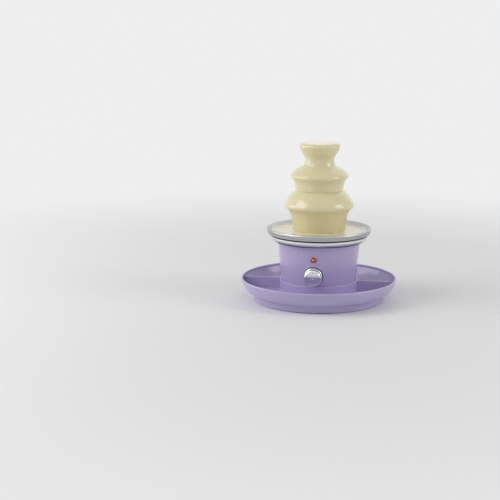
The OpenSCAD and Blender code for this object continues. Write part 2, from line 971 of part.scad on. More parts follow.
module motor_pinion() {
  color("#c7a24a") {
    translate([motor_at[0], motor_at[1], idler_z - 0.3]) {
      difference() {
        spur(pinion_teeth, idler_w + 0.6, motor_dir + 180, 0.5);
        translate([0, 0, -1])
          cylinder(r = rotor_shaft_r + eps, h = idler_w + 3);
      }
    }
  }
}

// Auger: a core with a helical flight

// Four corners of the flight's section at turn angle a, height z at its lower face
function flight_section(a, z) = [
  for (c = [[auger_core_r - 0.8, 0], [auger_r, 0], [auger_r, flight_t], [auger_core_r - 0.8, flight_t]])
    [c[0] * cos(a), c[0] * sin(a), z + c[1]]
];

module flight() {
  turn_steps = 24;
  n = floor((auger_z1 - flight_t - flight_z0) / auger_pitch * turn_steps);
  points = [
    for (i = [0 : n])
      each flight_section(360 * i / turn_steps, flight_z0 + auger_pitch * i / turn_steps)
  ];
  sides = [
    for (i = [0 : n - 1])
      for (j = [0 : 3])
        let (a = 4 * i + j, b = 4 * i + (j + 1) % 4)
          each [[a, b, a + 4], [b, b + 4, a + 4]]
  ];
  last = 4 * n;
  ends = [[0, 2, 1], [0, 3, 2], [last, last + 1, last + 2], [last, last + 2, last + 3]];
  polyhedron(points, concat(sides, ends), convexity = 12);
}

module auger() {
  color("#eceae4") {
    difference() {
      union() {
        translate([0, 0, auger_z0])
          cylinder(r = auger_core_r, h = auger_z1 - auger_z0);
        flight();
      }
      translate([0, 0, auger_z0 - 1])
        cylinder(r = shaft_r + 0.1, h = socket_z - auger_z0 + 1);
      translate([-pin_r - 0.1, -auger_core_r - 1, auger_z0 - 1])
        cube([2 * pin_r + 0.2, 2 * auger_core_r + 2, pin_z - auger_z0 + pin_r + 1.2]);
    }
  }
}

// Tower

// Upper line of a tier's canopy from its hub to its rim, bent by the shares k of run and drop
function canopy(hub, rim, k) =
  let (run = rim[0] - hub[0], drop = hub[1] - rim[1])
  cubic([
    hub,
    hub + [k[0] * run, -k[1] * drop],
    hub + [k[2] * run, -k[3] * drop],
    rim
  ]);

lower_canopy = canopy(lower_hub, lower_rim, [0.34, 0.18, 0.81, 0.53]);
middle_canopy = canopy(middle_hub, middle_rim, [0.11, 0.23, 0.87, 0.72]);
crown_line = cubic([
  [middle_hub[0], crown_z],
  [middle_hub[0] - 0.2, crown_z + 19.4],
  [crown_rim[0] - 5, crown_z + 19.4],
  crown_rim
]);

module tower_tube() {
  outline = [
    [tube_bore_r, foot_z],
    [foot_r - 0.8, foot_z],
    [foot_r, foot_z + 0.8],
    [foot_r, foot_z + foot_t - 0.8],
    [foot_r - 0.8, foot_z + foot_t],
    [lower_tube_r, foot_z + foot_t],
    [lower_tube_r, lower_seat_z],
    [middle_tube_r, lower_seat_z],
    [middle_tube_r, middle_seat_z],
    [top_tube_r, middle_seat_z],
    [top_tube_r, tube_top],
    [tube_bore_r, tube_top]
  ];
  color("#eceae4") {
    difference() {
      spin(outline);
      around(2, 45)
        tube_inlet();
      around(stud_count, 90)
        translate([stud_ring_r, 0, foot_z - 1])
          cylinder(r = stud_r + clear, h = foot_t + 2);
    }
  }
}

// Pair of opposite openings with round heads, just above the tower's foot
module tube_inlet() {
  z = foot_z + foot_t;
  translate([-foot_r, -inlet_w / 2, z])
    cube([2 * foot_r, inlet_w, inlet_h - inlet_w / 2]);
  translate([-foot_r, 0, z + inlet_h - inlet_w / 2])
    rotate([0, 90, 0])
      cylinder(r = inlet_w / 2, h = 2 * foot_r);
}

// Tier: a thin canopy on a hub that slips over the tube
module tier(line, hub, bore_r) {
  under = back(beside(line, -tier_wall));
  spin(concat(
    [[bore_r, hub[1] - hub_drop + 0.05], [bore_r, hub[1]]],
    line,
    [for (p = under) if (p[0] > hub[0] + 0.4 && p[1] > line[len(line) - 1][1] - tier_wall) p],
    [[hub[0], hub[1] - hub_drop + 0.05]]
  ));
}

module lower_tier() {
  color("#eceae4")
    tier(lower_canopy, lower_hub, middle_tube_r + slip);
}

module middle_tier() {
  color("#eceae4")
    tier(middle_canopy, middle_hub, top_tube_r + slip);
}

// Inner line of the crown's cup, moved d inwards from its outer line
function crown_cup(d) =
  let (p = beside(crown_line, d))
  [for (i = [0 : len(p) - 1]) if (crown_line[i][1] > crown_floor + 1.5) p[i]];

module crown() {
  inner = crown_cup(tier_wall);
  bore_r = top_tube_r + slip;
  color("#eceae4")
    spin(concat(
      [[bore_r, crown_z]],
      crown_line,
      back(inner),
      [[inner[0][0] - 1, crown_floor], [bore_r, crown_floor]]
    ));
}

// Chocolate

// Surface of the film over a canopy, which thickens towards the lip
function film_top(line, lip_r) =
  coat(line, growing(len(line), film_gap + film_t, lip_r - tier_wall / 2));

// Film on a canopy that rounds its rim in a lip and falls as a curtain.
// end_out and end_in are the lower ends of the curtain's outer and inner face.
function film(line, lip_r, end_out, end_in) =
  let (
    last = line[len(line) - 1],
    rim_n = left(line[len(line) - 2], last),
    rim_c = last - rim_n * tier_wall / 2,
    a0 = atan2(rim_n[1], rim_n[0]),
    on = beside(line, film_gap),
    out_a = arc(rim_c, lip_r, a0, -76, 12),
    in_a = arc(rim_c, tier_wall / 2 + film_gap, a0, -110),
    p = out_a[len(out_a) - 1],
    q = in_a[len(in_a) - 1],
    under = p - lip_r * [cos(14), sin(14)],
    fall_out = cubic([p, under, [end_out[0] + 3, p[1] - 9], end_out], 12),
    fall_in = cubic([q, [end_in[0] + 3, q[1] - 3], [end_in[0] + 3, q[1] - 10], end_in], 10)
  )
  concat(
    film_top(line, lip_r),
    [for (i = [1 : len(out_a) - 1]) out_a[i]],
    [for (i = [1 : len(fall_out) - 1]) fall_out[i]],
    back(fall_in),
    [for (i = [len(in_a) - 2 : -1 : 1]) in_a[i]],
    back(on)
  );

// Height of the film's surface over a canopy at radius r
function film_z(line, lip_r, r) = lookup(r, film_top(line, lip_r));

module chocolate_pool() {
  g = 0.15;
  wall = concat(
    [[foot_r + clear, bowl_floor_z + g]],
    arc(fillet_c, bowl_fillet - g, -90, -cone_a, 6),
    [on_cone(pool_z, g), [foot_r + clear, pool_z]]
  );
  color("#f2dc9a")
    spin(wall);
}

module lower_curtain() {
  r = lower_fall_d / 2;
  z = pool_z + clear;
  color("#f2dc9a")
    spin(film(lower_canopy, lower_lip_r, [r, z], [r - film_t, z]));
}

module middle_curtain() {
  r = middle_fall_d / 2;
  ends = [for (x = [r, r - film_t]) [x, film_z(lower_canopy, lower_lip_r, x) + 0.3]];
  color("#f2dc9a")
    spin(film(middle_canopy, middle_lip_r, ends[0], ends[1]));
}

// Film's thickness along the crown's line: a fillet at its foot, a lip at its rim
crown_coat = [
  for (i = [0 : len(crown_line) - 1])
    growing(len(crown_line), film_gap + crown_film, crown_lip_r - tier_wall / 2)[i]
      + 2.6 * pow(max(0, 1 - i / 5), 2)
];

module crown_flow() {
  rim_n = left(crown_line[len(crown_line) - 1], crown_line[len(crown_line) - 2]);
  rim_c = crown_rim + rim_n * -tier_wall / 2;
  rim_a = atan2(rim_n[1], rim_n[0]);
  over = [for (p = coat(crown_line, -crown_coat)) if (p[1] > film_foot(p[0])) p];
  foot = over[0] + [1.2, 0];
  on = beside(crown_line, -film_gap);
  cup = crown_cup(tier_wall + film_gap);
  lip = arc(rim_c, crown_lip_r, rim_a, 90, 12);
  top = lip[len(lip) - 1];
  well_r = top_tube_r + clear;
  well_z = auger_z1 + 1;
  color("#f2dc9a")
    spin(concat(
      [[foot[0], film_foot(foot[0])]],
      over,
      [for (i = [1 : len(lip) - 1]) lip[i]],
      cubic([top, top + [-8, 0], [16, top[1] + 2.8], [0, top[1] + 2.8]], 10),
      [[0, well_z], [well_r, well_z], [well_r, crown_floor + film_gap]],
      [[cup[0][0] - 1 - film_gap, crown_floor + film_gap]],
      cup,
      arc(rim_c, tier_wall / 2 + film_gap, rim_a + 180, rim_a),
      back([for (p = on) if (p[1] > film_foot(p[0])) p])
    ));
}

// Lowest height of the crown's flow at radius r, just above the middle tier's film
function film_foot(r) = film_z(middle_canopy, middle_lip_r, r) + 0.3;

// Controls

module selector_switch() {
  color("#3a3a3e") {
    on_wall(0, knob_z) {
      difference() {
        union() {
          translate([-11, -11, -seat_in - 17])
            cube([22, 22, 17]);
          translate([0, 0, -seat_in - eps])
            cylinder(r = switch_nose_r, h = seat_in + 4);
        }
        translate([0, 0, -seat_in - 12])
          cylinder(r = spindle_r + run_fit, h = seat_in + 20);
      }
    }
  }
}

module switch_nut() {
  color("#b9bcc0") {
    on_wall(0, knob_z) {
      translate([0, 0, seat_out]) {
        difference() {
          cylinder(r = 7.4, h = 2.4, $fn = 6);
          translate([0, 0, -1])
            cylinder(r = switch_nose_r + eps, h = 5);
        }
      }
    }
  }
}

module switch_spindle() {
  color("#b9bcc0")
    on_wall(0, knob_z)
      translate([0, 0, -seat_in - 10])
        cylinder(r = spindle_r, h = seat_in + 10 + knob_z0 + knob_h - 4);
}

// Ball whose cap is the knob's bulging face
module knob_ball() {
  translate([0, 0, knob_z0 + knob_h - knob_ball_r])
    sphere(r = knob_ball_r, $fn = 180);
}

// Block that stands 0.6 mm below the bulging face, square to it, where the pointer lies
module knob_mark(size) {
  translate([0, 0, knob_z0 + knob_h - knob_ball_r])
    rotate([-asin((knob_d / 2 - 4.8) / knob_ball_r), 0, 0])
      translate([-size[0] / 2, -size[1] / 2, knob_ball_r - 0.6])
        cube(size);
}

module selector_knob() {
  r = knob_d / 2;
  color("#d9dbe0") {
    on_wall(0, knob_z) {
      difference() {
        intersection() {
          translate([0, 0, knob_z0])
            spin([
              [0, 0],
              [r - 0.5, 0],
              [r, 0.5],
              [r, 2.2],
              [r - 0.5, 2.7],
              [r - 1, knob_edge - 1.2],
              [r - 4.4, knob_edge + 2.2],
              [0, knob_edge + 2.2]
            ]);
          knob_ball();
        }
        around(knob_grooves)
          translate([r, 0, knob_z0 + 3.4])
            cylinder(r = 1.3, h = knob_h, $fn = 24);
        translate([0, 0, knob_z0 - 1])
          cylinder(r = 8.2, h = 5);
        translate([0, 0, knob_z0])
          cylinder(r = spindle_r + eps, h = knob_h - 3.8);
        knob_mark([1.2, 4, 2]);
      }
    }
  }
}

module knob_pointer() {
  color("#8c8c96")
    on_wall(0, knob_z)
      knob_mark([1.1, 3.9, 0.6]);
}

module indicator_lens() {
  r = lamp_d / 2;
  stem = r - 0.6;
  color("#c3182c") {
    on_wall(0, lamp_z) {
      spin(concat(
        [[stem - 1, -seat_in - 5], [stem, -seat_in - 5], [stem, seat_out + 0.05]],
        [[r + 0.8, seat_out + 0.05], [r + 0.8, seat_out + 0.7], [r, seat_out + 1]],
        [for (i = [1 : 7]) let (a = 90 * i / 7) [r * cos(a), seat_out + 1 + 3.2 * sin(a)]],
        [[0, seat_out + 1.6], [stem - 1, seat_out]]
      ));
    }
  }
}

module indicator_bulb() {
  color("#f0c9a0")
    on_wall(0, lamp_z)
      translate([0, 0, -seat_in - 7]) {
        cylinder(r = lamp_d / 2 - 2.2, h = 8);
        translate([0, 0, -3])
          cylinder(r = lamp_d / 2 - 1.2, h = 3.2);
      }
}

module indicator_nut() {
  color("#e4dfd0")
    on_wall(0, lamp_z)
      translate([0, 0, -seat_in - 3])
        ring(lamp_d / 2 + 2, lamp_d / 2 - 0.6 + eps, 3);
}

module terminal_block() {
  color("#e9e6dc") {
    rotate([0, 0, 12])
      translate([block_r, -12, housing_z0 + plate_t]) {
        difference() {
          cube([10, 24, 11]);
          for (y = [4, 12, 20])
            translate([5, y, 5])
              cylinder(r = 2, h = 8);
        }
      }
  }
}

module cord_gland() {
  color("#2b2a30") {
    on_wall(180, gland_z) {
      spin([
        [3.4, -seat_in - 4],
        [7.4, -seat_in - 4],
        [7.4, -seat_in - 0.05],
        [6, -seat_in - 0.05],
        [6, seat_out + 0.05],
        [8.6, seat_out + 0.05],
        [8.6, seat_out + 2.4],
        [7.2, seat_out + 4],
        [3.4, seat_out + 4]
      ]);
    }
  }
}

serving_tray();
tray_pads();
motor_housing();
base_plate();
base_feet();
base_screws();
trim_seal();
trim_ring();
bowl_seal();
bowl();
bowl_gasket();
shaft_bush();
shaft_seal();
bush_nut();
tower_studs();
heating_element();
heater_plate();
tie_rods();
thermostat();
thermal_fuse();
gearbox_case();
gearbox_lid();
gearbox_screws();
idler_pin();
compound_gear();
motor_can();
motor_end_cap();
motor_magnets();
motor_rotor();
motor_pinion();
output_gear();
drive_shaft();
drive_pin();
auger();
tower_tube();
lower_tier();
middle_tier();
crown();
chocolate_pool();
lower_curtain();
middle_curtain();
crown_flow();
selector_switch();
switch_nut();
switch_spindle();
selector_knob();
knob_pointer();
indicator_lens();
indicator_bulb();
indicator_nut();
terminal_block();
cord_gland();
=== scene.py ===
"""Dressed model of a chocolate fountain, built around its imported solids.

Metres, in the frame of the solids: the origin lies on the table under the tower's axis, +Z is up
and the front, with the knob and the lamp, faces -Y. The classes of the pieces hold their sizes in
millimetres, and the studio's are in metres.
"""

from __future__ import annotations

import json
import logging
import math
from dataclasses import dataclass
from enum import Enum
from typing import Iterable, Mapping, Optional, Sequence, Union

import bmesh
import bpy
from bmesh.types import BMesh, BMVert
from mathutils import Matrix, Vector


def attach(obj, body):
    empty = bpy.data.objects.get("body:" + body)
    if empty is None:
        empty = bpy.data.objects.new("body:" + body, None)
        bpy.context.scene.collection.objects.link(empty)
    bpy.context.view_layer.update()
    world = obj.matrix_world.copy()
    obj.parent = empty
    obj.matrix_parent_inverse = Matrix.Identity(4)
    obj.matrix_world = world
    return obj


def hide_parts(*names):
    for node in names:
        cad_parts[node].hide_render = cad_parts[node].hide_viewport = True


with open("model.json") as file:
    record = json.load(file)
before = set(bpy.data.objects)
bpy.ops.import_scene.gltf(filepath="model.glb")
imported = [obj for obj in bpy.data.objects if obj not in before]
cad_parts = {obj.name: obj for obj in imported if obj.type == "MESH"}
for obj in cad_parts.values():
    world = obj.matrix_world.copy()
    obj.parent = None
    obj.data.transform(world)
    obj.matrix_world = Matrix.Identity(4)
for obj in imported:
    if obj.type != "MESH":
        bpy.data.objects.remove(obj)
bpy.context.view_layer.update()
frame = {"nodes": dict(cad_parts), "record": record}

LOG = logging.getLogger("fountain")
MM = 0.001
# Radius of what counts as a point on the axis, and radius in metres inside which a flow grows calm
POLE_R = 1e-6
CALM_R = 0.03
SMOOTH_ANGLE = math.radians(38)

Point = tuple[float, float]
Points = Sequence[Point]
Triple = tuple[float, float, float]
# Points of a closed outline, and how freely each of them may move, from 0 to 1
Outline = tuple[list[Point], list[float]]
Mesh = bpy.types.Mesh
Node = bpy.types.Node
NodeTree = bpy.types.NodeTree
Socket = bpy.types.NodeSocket
Feed = Union[Socket, float, Sequence[float], bool, str]
Feeds = Mapping[Union[str, int], Feed]


class Body(str, Enum):
    """Bodies of the fountain that pieces ride on."""

    TRAY = "tray"
    BASE = "base"
    TOWER = "tower"


class Pattern(Enum):
    """Surface patterns; the value is the name of the shader group."""

    GRAIN = "Mould grain"
    TURNED = "Turned lines"
    POURED = "Poured streaks"


# Wall of the housing, by the radius and height of its ends, in millimetres

HOUSING_FOOT = (70.0, 20.4)
HOUSING_TOP = (78.8, 115.4)
WALL_SLOPE = (HOUSING_TOP[0] - HOUSING_FOOT[0]) / (HOUSING_TOP[1] - HOUSING_FOOT[1])
WALL_TILT = math.pi / 2 + math.atan(WALL_SLOPE)
KNOB_Z = 58.6
LAMP_Z = 90.6


def housing_r(z: float) -> float:
    """Outer radius of the housing at a height, both in millimetres."""
    return HOUSING_FOOT[0] + WALL_SLOPE * (z - HOUSING_FOOT[1])


def wall_front(z: float) -> Vector:
    """Foremost point of the wall, in metres, at a height in millimetres."""
    return Vector((0.0, -housing_r(z) * MM, z * MM))


def on_wall(turn: float, z: float) -> Matrix:
    """Frame on the wall at a turn in radians from the front, with +Z out of it and +Y up along it."""
    foot = Matrix.Rotation(turn, 4, "Z") @ Matrix.Translation(wall_front(z))
    return foot @ Matrix.Rotation(WALL_TILT, 4, "X")


# Node trees


class Sketch:
    """Adds nodes to one tree and links them."""

    def __init__(self, tree: NodeTree) -> None:
        """Keep the tree that the nodes go into."""
        self.tree = tree

    def feed(self, socket: Socket, value: Feed) -> None:
        """Link a socket, or set its own value.

        Args:
            socket: Input to be fed.
            value: Output to link from, or a plain value.
        """
        if isinstance(value, Socket):
            self.tree.links.new(value, socket)
        else:
            socket.default_value = value

    def add(self, kind: str, feeds: Optional[Feeds] = None, **settings: object) -> Node:
        """Add a node.

        Args:
            kind: Blender's name of the node type.
            feeds: What goes into its inputs, by name or place.
            settings: The node's own properties.

        Returns:
            The new node.
        """
        node = self.tree.nodes.new(kind)
        for name, value in settings.items():
            setattr(node, name, value)
        for key, value in (feeds or {}).items():
            self.feed(node.inputs[key], value)
        return node

    def math(self, operation: str, *terms: Feed) -> Socket:
        """Add a math node and give its result."""
        return self.add("ShaderNodeMath", dict(enumerate(terms)), operation=operation).outputs[0]

    def vector(self, *parts: Feed) -> Socket:
        """Put three numbers together to a vector."""
        return self.add("ShaderNodeCombineXYZ", dict(enumerate(parts))).outputs[0]

    def scaled(self, vector: Feed, factor: Feed) -> Socket:
        """Multiply a vector or a colour by a number."""
        feeds = {0: vector, "Scale": factor}
        return self.add("ShaderNodeVectorMath", feeds, operation="SCALE").outputs[0]

    def noise(self, place: Feed, scale: Feed, detail: float) -> Socket:
        """Add a noise texture, whose values lie around 0.5."""
        feeds = {"Vector": place, "Scale": scale, "Detail": detail}
        return self.add("ShaderNodeTexNoise", feeds).outputs[0]

    def closed_noise(self, direction: Sequence[Feed], scale: Feed, along: Feed, detail: float) -> Socket:
        """Add a noise that closes around an axis, by the direction from that axis."""
        sides = [self.math("MULTIPLY", side, scale) for side in direction]
        return self.noise(self.vector(*sides, along), 1.0, detail)

    def swing(self, value: Feed, reach: Feed) -> Socket:
        """Turn a value from 0 to 1 into one from -reach to +reach."""
        centred = self.math("MULTIPLY_ADD", value, 2.0, -1.0)
        return self.math("MULTIPLY", centred, reach)

    def between(self, value: Feed, low: float, high: float) -> Socket:
        """Ramp a value smoothly from 0 at low to 1 at high."""
        feeds = {0: value, 1: low, 2: high}
        return self.add("ShaderNodeMapRange", feeds, interpolation_type="SMOOTHSTEP").outputs[0]

    def around(self, place: Socket, least: float = POLE_R) -> tuple[tuple[Socket, ...], Socket, Socket]:
        """Split a place into the parts that matter on a turned piece.

        Args:
            place: Coordinates with the piece's axis along Z.
            least: Distance below which the direction fades out towards the axis.

        Returns:
            The direction's x and y as seen from the axis, the distance from it, and the height.
        """
        x, y, z = self.add("ShaderNodeSeparateXYZ", {0: place}).outputs
        squares = self.math("ADD", self.math("MULTIPLY", x, x), self.math("MULTIPLY", y, y))
        radius = self.math("MAXIMUM", self.math("SQRT", squares), least)
        return (self.math("DIVIDE", x, radius), self.math("DIVIDE", y, radius)), radius, z


class Group(Sketch):
    """A node group with named inputs and outputs."""

    def __init__(self, name: str, kind: str, inputs: Mapping[str, str], outputs: Mapping[str, str]) -> None:
        """Start the group.

        Args:
            name: Its name.
            kind: ShaderNodeTree or GeometryNodeTree.
            inputs: Socket type of each input.
            outputs: Socket type of each output.
        """
        super().__init__(bpy.data.node_groups.new(name, kind))
        for way, sockets in (("INPUT", inputs), ("OUTPUT", outputs)):
            for label, socket_type in sockets.items():
                self.tree.interface.new_socket(label, in_out=way, socket_type=socket_type)
        self.given = self.tree.nodes.new("NodeGroupInput")
        self.result = self.tree.nodes.new("NodeGroupOutput")

    def take(self, names: Iterable[str]) -> list[Socket]:
        """Give the named inputs."""
        return [self.given.outputs[name] for name in names]

    def close(self, values: Mapping[str, Feed]) -> NodeTree:
        """Feed the outputs.

        Args:
            values: What goes into each output.

        Returns:
            The group's tree.
        """
        for name, value in values.items():
            self.feed(self.result.inputs[name], value)
        return self.tree


FLOAT, COLOUR, VECTOR = "NodeSocketFloat", "NodeSocketColor", "NodeSocketVector"
GEOMETRY, MATERIAL, OBJECT = "NodeSocketGeometry", "NodeSocketMaterial", "NodeSocketObject"
PATTERN_INPUTS = {
    "Place": VECTOR, "Colour": COLOUR, "Fineness": FLOAT, "Tone": FLOAT, "Roughness": FLOAT,
}
PATTERN_OUTPUTS = {"Colour": COLOUR, "Roughness": FLOAT, "Height": FLOAT}
# Scale of turned lines around the axis, of poured streaks per metre down, and a scuff's length by its height
TURNED_SIDES = 3.0
POURED_DOWN = 30.0
SCUFF_STRETCH = 8.0


class ShaderGroups:
    """The shader groups that the finishes share."""

    def __init__(self) -> None:
        """Build every group once."""
        self.patterns = {pattern: self.pattern_group(pattern) for pattern in Pattern}
        self.scuffs = self.handling_scuffs()

    @staticmethod
    def pattern_group(pattern: Pattern) -> NodeTree:
        """Build the group of a pattern out of a fine and a broad noise.

        Args:
            pattern: The pattern.

        Returns:
            The shader group.
        """
        sketch = Group(pattern.value, "ShaderNodeTree", PATTERN_INPUTS, PATTERN_OUTPUTS)
        place, colour, fineness, tone, rough = sketch.take(PATTERN_INPUTS)
        # Each noise has the share by which it changes the colour and its change of roughness
        if pattern is Pattern.GRAIN:
            fine = sketch.noise(place, scale=fineness, detail=4.0)
            broad = sketch.noise(place, scale=13.0, detail=3.0)
            layers = ((fine, 0.02, 0.05), (broad, tone, 0.05))
        elif pattern is Pattern.TURNED:
            direction, radius, z = sketch.around(place)
            across = sketch.math("MULTIPLY", sketch.math("ADD", radius, z), fineness)
            fine = sketch.closed_noise(direction, TURNED_SIDES, across, detail=3.0)
            broad = sketch.noise(place, scale=22.0, detail=2.0)
            layers = ((fine, tone, 0.1), (broad, 0.0, 0.06))
        else:
            direction, _, z = sketch.around(place, CALM_R)
            down = sketch.math("MULTIPLY", z, POURED_DOWN)
            fine = sketch.closed_noise(direction, fineness, down, detail=3.0)
            broad = sketch.noise(place, scale=28.0, detail=2.0)
            layers = ((fine, tone, 0.06), (broad, tone, 0.0))
        share: Feed = 1.0
        for noise, tone_reach, rough_reach in layers:
            share = sketch.math("ADD", share, sketch.swing(noise, tone_reach))
            rough = sketch.math("ADD", rough, sketch.swing(noise, rough_reach))
        return sketch.close({"Colour": sketch.scaled(colour, share), "Roughness": rough, "Height": fine})

    @staticmethod
    def handling_scuffs() -> NodeTree:
        """Thin scuffs in patches, as wiping and stacking leave them.

        Returns:
            The shader group, which puts out a mask.
        """
        sketch = Group("Handling scuffs", "ShaderNodeTree", {"Place": VECTOR}, {"Mask": FLOAT})
        place = sketch.given.outputs["Place"]
        x, y, z = sketch.add("ShaderNodeSeparateXYZ", {0: place}).outputs
        drawn = sketch.vector(x, y, sketch.math("MULTIPLY", z, SCUFF_STRETCH))
        lines = sketch.between(sketch.noise(drawn, scale=140.0, detail=5.0), 0.58, 0.72)
        patch = sketch.between(sketch.noise(place, scale=17.0, detail=2.0), 0.46, 0.68)
        return sketch.close({"Mask": sketch.math("MULTIPLY", lines, patch)})


# Finishes


def colour_of(code: str) -> tuple[float, float, float, float]:
    """Turn a colour code into linear light.

    Args:
        code: Six hexadecimal digits.

    Returns:
        Red, green, blue and 1.
    """
    shares = [int(code[i : i + 2], 16) / 255 for i in (0, 2, 4)]
    linear = [s / 12.92 if s <= 0.04045 else ((s + 0.055) / 1.055) ** 2.4 for s in shares]
    return (*linear, 1.0)


@dataclass(frozen=True)
class Finish:
    """Look of one material slot.

    Attributes:
        slot: Name of the record's material slot.
        pattern: Pattern that its colour, roughness and relief follow.
        colour: Colour code.
        roughness: Mean roughness.
        fineness: How fine the pattern is.
        tone: Share by which the colour wanders.
        relief: Height of the relief, in millimetres.
        scuffs: How much rougher the scuffs are.
        glow: Strength of its own light.
        core: Radius around the pattern's axis that the light keeps to, in millimetres; the bright spot it
            gives is the lamp's own glow and also a painted highlight.
        fixed: Shader values that are the same all over.
        centre: Where the pattern's origin lies, in metres.
        tilt: Turn about X from the piece's coordinates to the pattern's, in radians.
    """

    slot: str
    pattern: Pattern
    colour: str
    roughness: float
    fineness: float
    tone: float
    relief: float
    scuffs: float = 0.0
    glow: float = 0.0
    core: float = 0.0
    fixed: tuple[tuple[str, object], ...] = ()
    centre: Triple = (0.0, 0.0, 0.0)
    tilt: float = 0.0

    def material(self, groups: ShaderGroups) -> bpy.types.Material:
        """Build the material.

        Args:
            groups: The shared shader groups.

        Returns:
            The material, named after its slot.
        """
        made = bpy.data.materials.new(self.slot)
        made.use_nodes = True
        sketch = Sketch(made.node_tree)
        shader = made.node_tree.nodes["Principled BSDF"]
        for name, value in self.fixed:
            shader.inputs[name].default_value = value
        place = sketch.add("ShaderNodeTexCoord").outputs["Object"]
        if self.tilt:
            feeds = {"Vector": place, "Location": self.centre, "Rotation": (-self.tilt, 0.0, 0.0)}
            place = sketch.add("ShaderNodeMapping", feeds, vector_type="TEXTURE").outputs[0]
        values = (place, colour_of(self.colour), self.fineness, self.tone, self.roughness)
        feeds = dict(zip(PATTERN_INPUTS, values))
        pattern = sketch.add("ShaderNodeGroup", feeds, node_tree=groups.patterns[self.pattern])
        rough = pattern.outputs["Roughness"]
        if self.scuffs:
            marks = sketch.add("ShaderNodeGroup", {"Place": place}, node_tree=groups.scuffs)
            rough = sketch.math("MULTIPLY_ADD", marks.outputs["Mask"], self.scuffs, rough)
        feeds = {"Height": pattern.outputs["Height"], "Distance": self.relief * MM, "Strength": 1.0}
        bump = sketch.add("ShaderNodeBump", feeds)
        sketch.feed(shader.inputs["Base Color"], pattern.outputs["Colour"])
        sketch.feed(shader.inputs["Roughness"], rough)
        sketch.feed(shader.inputs["Normal"], bump.outputs["Normal"])
        if self.glow:
            light = pattern.outputs["Colour"]
            # The light fades out from the axis: a bright centre that is the lamp's own glow and also a
            # painted highlight on the dome.
            if self.core:
                _, radius, _ = sketch.around(place)
                away = sketch.between(radius, 0.0, self.core * MM)
                light = sketch.scaled(CORE_GLOW_AND_HIGHLIGHT, sketch.math("SUBTRACT", 1.0, away))
            sketch.feed(shader.inputs["Emission Color"], light)
            shader.inputs["Emission Strength"].default_value = self.glow
        return made


METAL = ("Metallic", 1.0)
# Colour of the lens's bright centre: the lamp's own glow, also standing in for a painted highlight.
CORE_GLOW_AND_HIGHLIGHT = (1.0, 0.36, 0.34)
# Slot, pattern, colour, roughness, fineness, tone, relief and, where there are any, scuffs
FINISHES = (
    Finish(
        "lavender", Pattern.GRAIN, "B6A9D1", 0.30, 900, 0.03, 0.004, 0.16,
        fixed=(("Coat Weight", 0.5), ("Coat Roughness", 0.10)),
    ),
    # Rubber is also the finish of the dark rings set into the gaps under the bowl and the trim ring; their
    # dark stands in for the shade in those gaps.
    Finish("rubber", Pattern.GRAIN, "2A292D", 0.72, 1400, 0.10, 0.03),
    Finish("steel_bowl", Pattern.TURNED, "BABABB", 0.33, 2600, 0.06, 0.003, 0.10, fixed=(METAL,)),
    Finish("silver_trim", Pattern.TURNED, "ECECEE", 0.36, 1800, 0.03, 0.002, 0.10, fixed=(METAL,)),
    Finish(
        "knob_silver", Pattern.TURNED, "E4E7EB", 0.19, 2400, 0.02, 0.001, 0.06,
        fixed=(METAL,), centre=tuple(wall_front(KNOB_Z)), tilt=WALL_TILT,
    ),
    Finish("pointer", Pattern.GRAIN, "9A9AA4", 0.40, 1200, 0.06, 0.01),
    Finish("white_plastic", Pattern.GRAIN, "EDEAE1", 0.32, 900, 0.02, 0.004, 0.10),
    Finish(
        "chocolate", Pattern.POURED, "E0D6AC", 0.23, 9, 0.03, 0.05,
        fixed=(
            ("Subsurface Weight", 0.30),
            ("Subsurface Radius", (1.0, 0.75, 0.35)),
            ("Subsurface Scale", 0.004),
            ("Specular IOR Level", 0.2),
            ("Coat Weight", 1.0),
            ("Coat Roughness", 0.12),
        ),
    ),
    # The red lens: a lit lamp whose glowing centre also stands in for a painted highlight.
    Finish(
        "red_lens", Pattern.GRAIN, "A01026", 0.16, 500, 0.10, 0.004, glow=0.9, core=2.6,
        fixed=(("Coat Weight", 1.0), ("Coat Roughness", 0.04)),
        centre=tuple(wall_front(LAMP_Z)), tilt=WALL_TILT,
    ),
    Finish(
        "bulb", Pattern.GRAIN, "F6D6B0", 0.10, 300, 0.04, 0.002, glow=0.3,
        fixed=(("Transmission Weight", 0.6),),
    ),
    Finish("screw_steel", Pattern.GRAIN, "9C9EA2", 0.34, 1500, 0.08, 0.006, fixed=(METAL,)),
    Finish("shaft_steel", Pattern.TURNED, "B4B6BA", 0.22, 4000, 0.05, 0.003, fixed=(METAL,)),
    Finish("brass", Pattern.TURNED, "C9A552", 0.28, 3600, 0.06, 0.004, fixed=(METAL,)),
    Finish("silicone", Pattern.GRAIN, "D3C8B8", 0.55, 1100, 0.05, 0.02),
    Finish("element", Pattern.GRAIN, "6B6662", 0.58, 800, 0.16, 0.02, fixed=(("Metallic", 0.6),)),
    Finish("aluminium", Pattern.TURNED, "B9BBBE", 0.36, 1500, 0.05, 0.004, fixed=(METAL,)),
    Finish("dark_plastic", Pattern.GRAIN, "2E2E33", 0.50, 1300, 0.08, 0.015),
    Finish("pale_plastic", Pattern.GRAIN, "E1DCCD", 0.46, 1200, 0.04, 0.01),
    Finish("gearbox_plastic", Pattern.GRAIN, "70737A", 0.48, 1200, 0.06, 0.015),
    Finish("nylon", Pattern.GRAIN, "E6DFCC", 0.40, 1000, 0.04, 0.008),
    Finish("motor_steel", Pattern.TURNED, "9DA0A6", 0.32, 2200, 0.05, 0.004, fixed=(METAL,)),
    Finish("rotor_copper", Pattern.TURNED, "8A5638", 0.40, 1600, 0.14, 0.03, fixed=(("Metallic", 0.7),)),
)


# Lines and meshes


def arc(centre: Point, radius: float, start: float, end: float, steps: int) -> list[Point]:
    """Points on an arc between two angles in degrees, both ends included."""
    angles = [math.radians(start + (end - start) * i / steps) for i in range(steps + 1)]
    return [(centre[0] + radius * math.cos(a), centre[1] + radius * math.sin(a)) for a in angles]


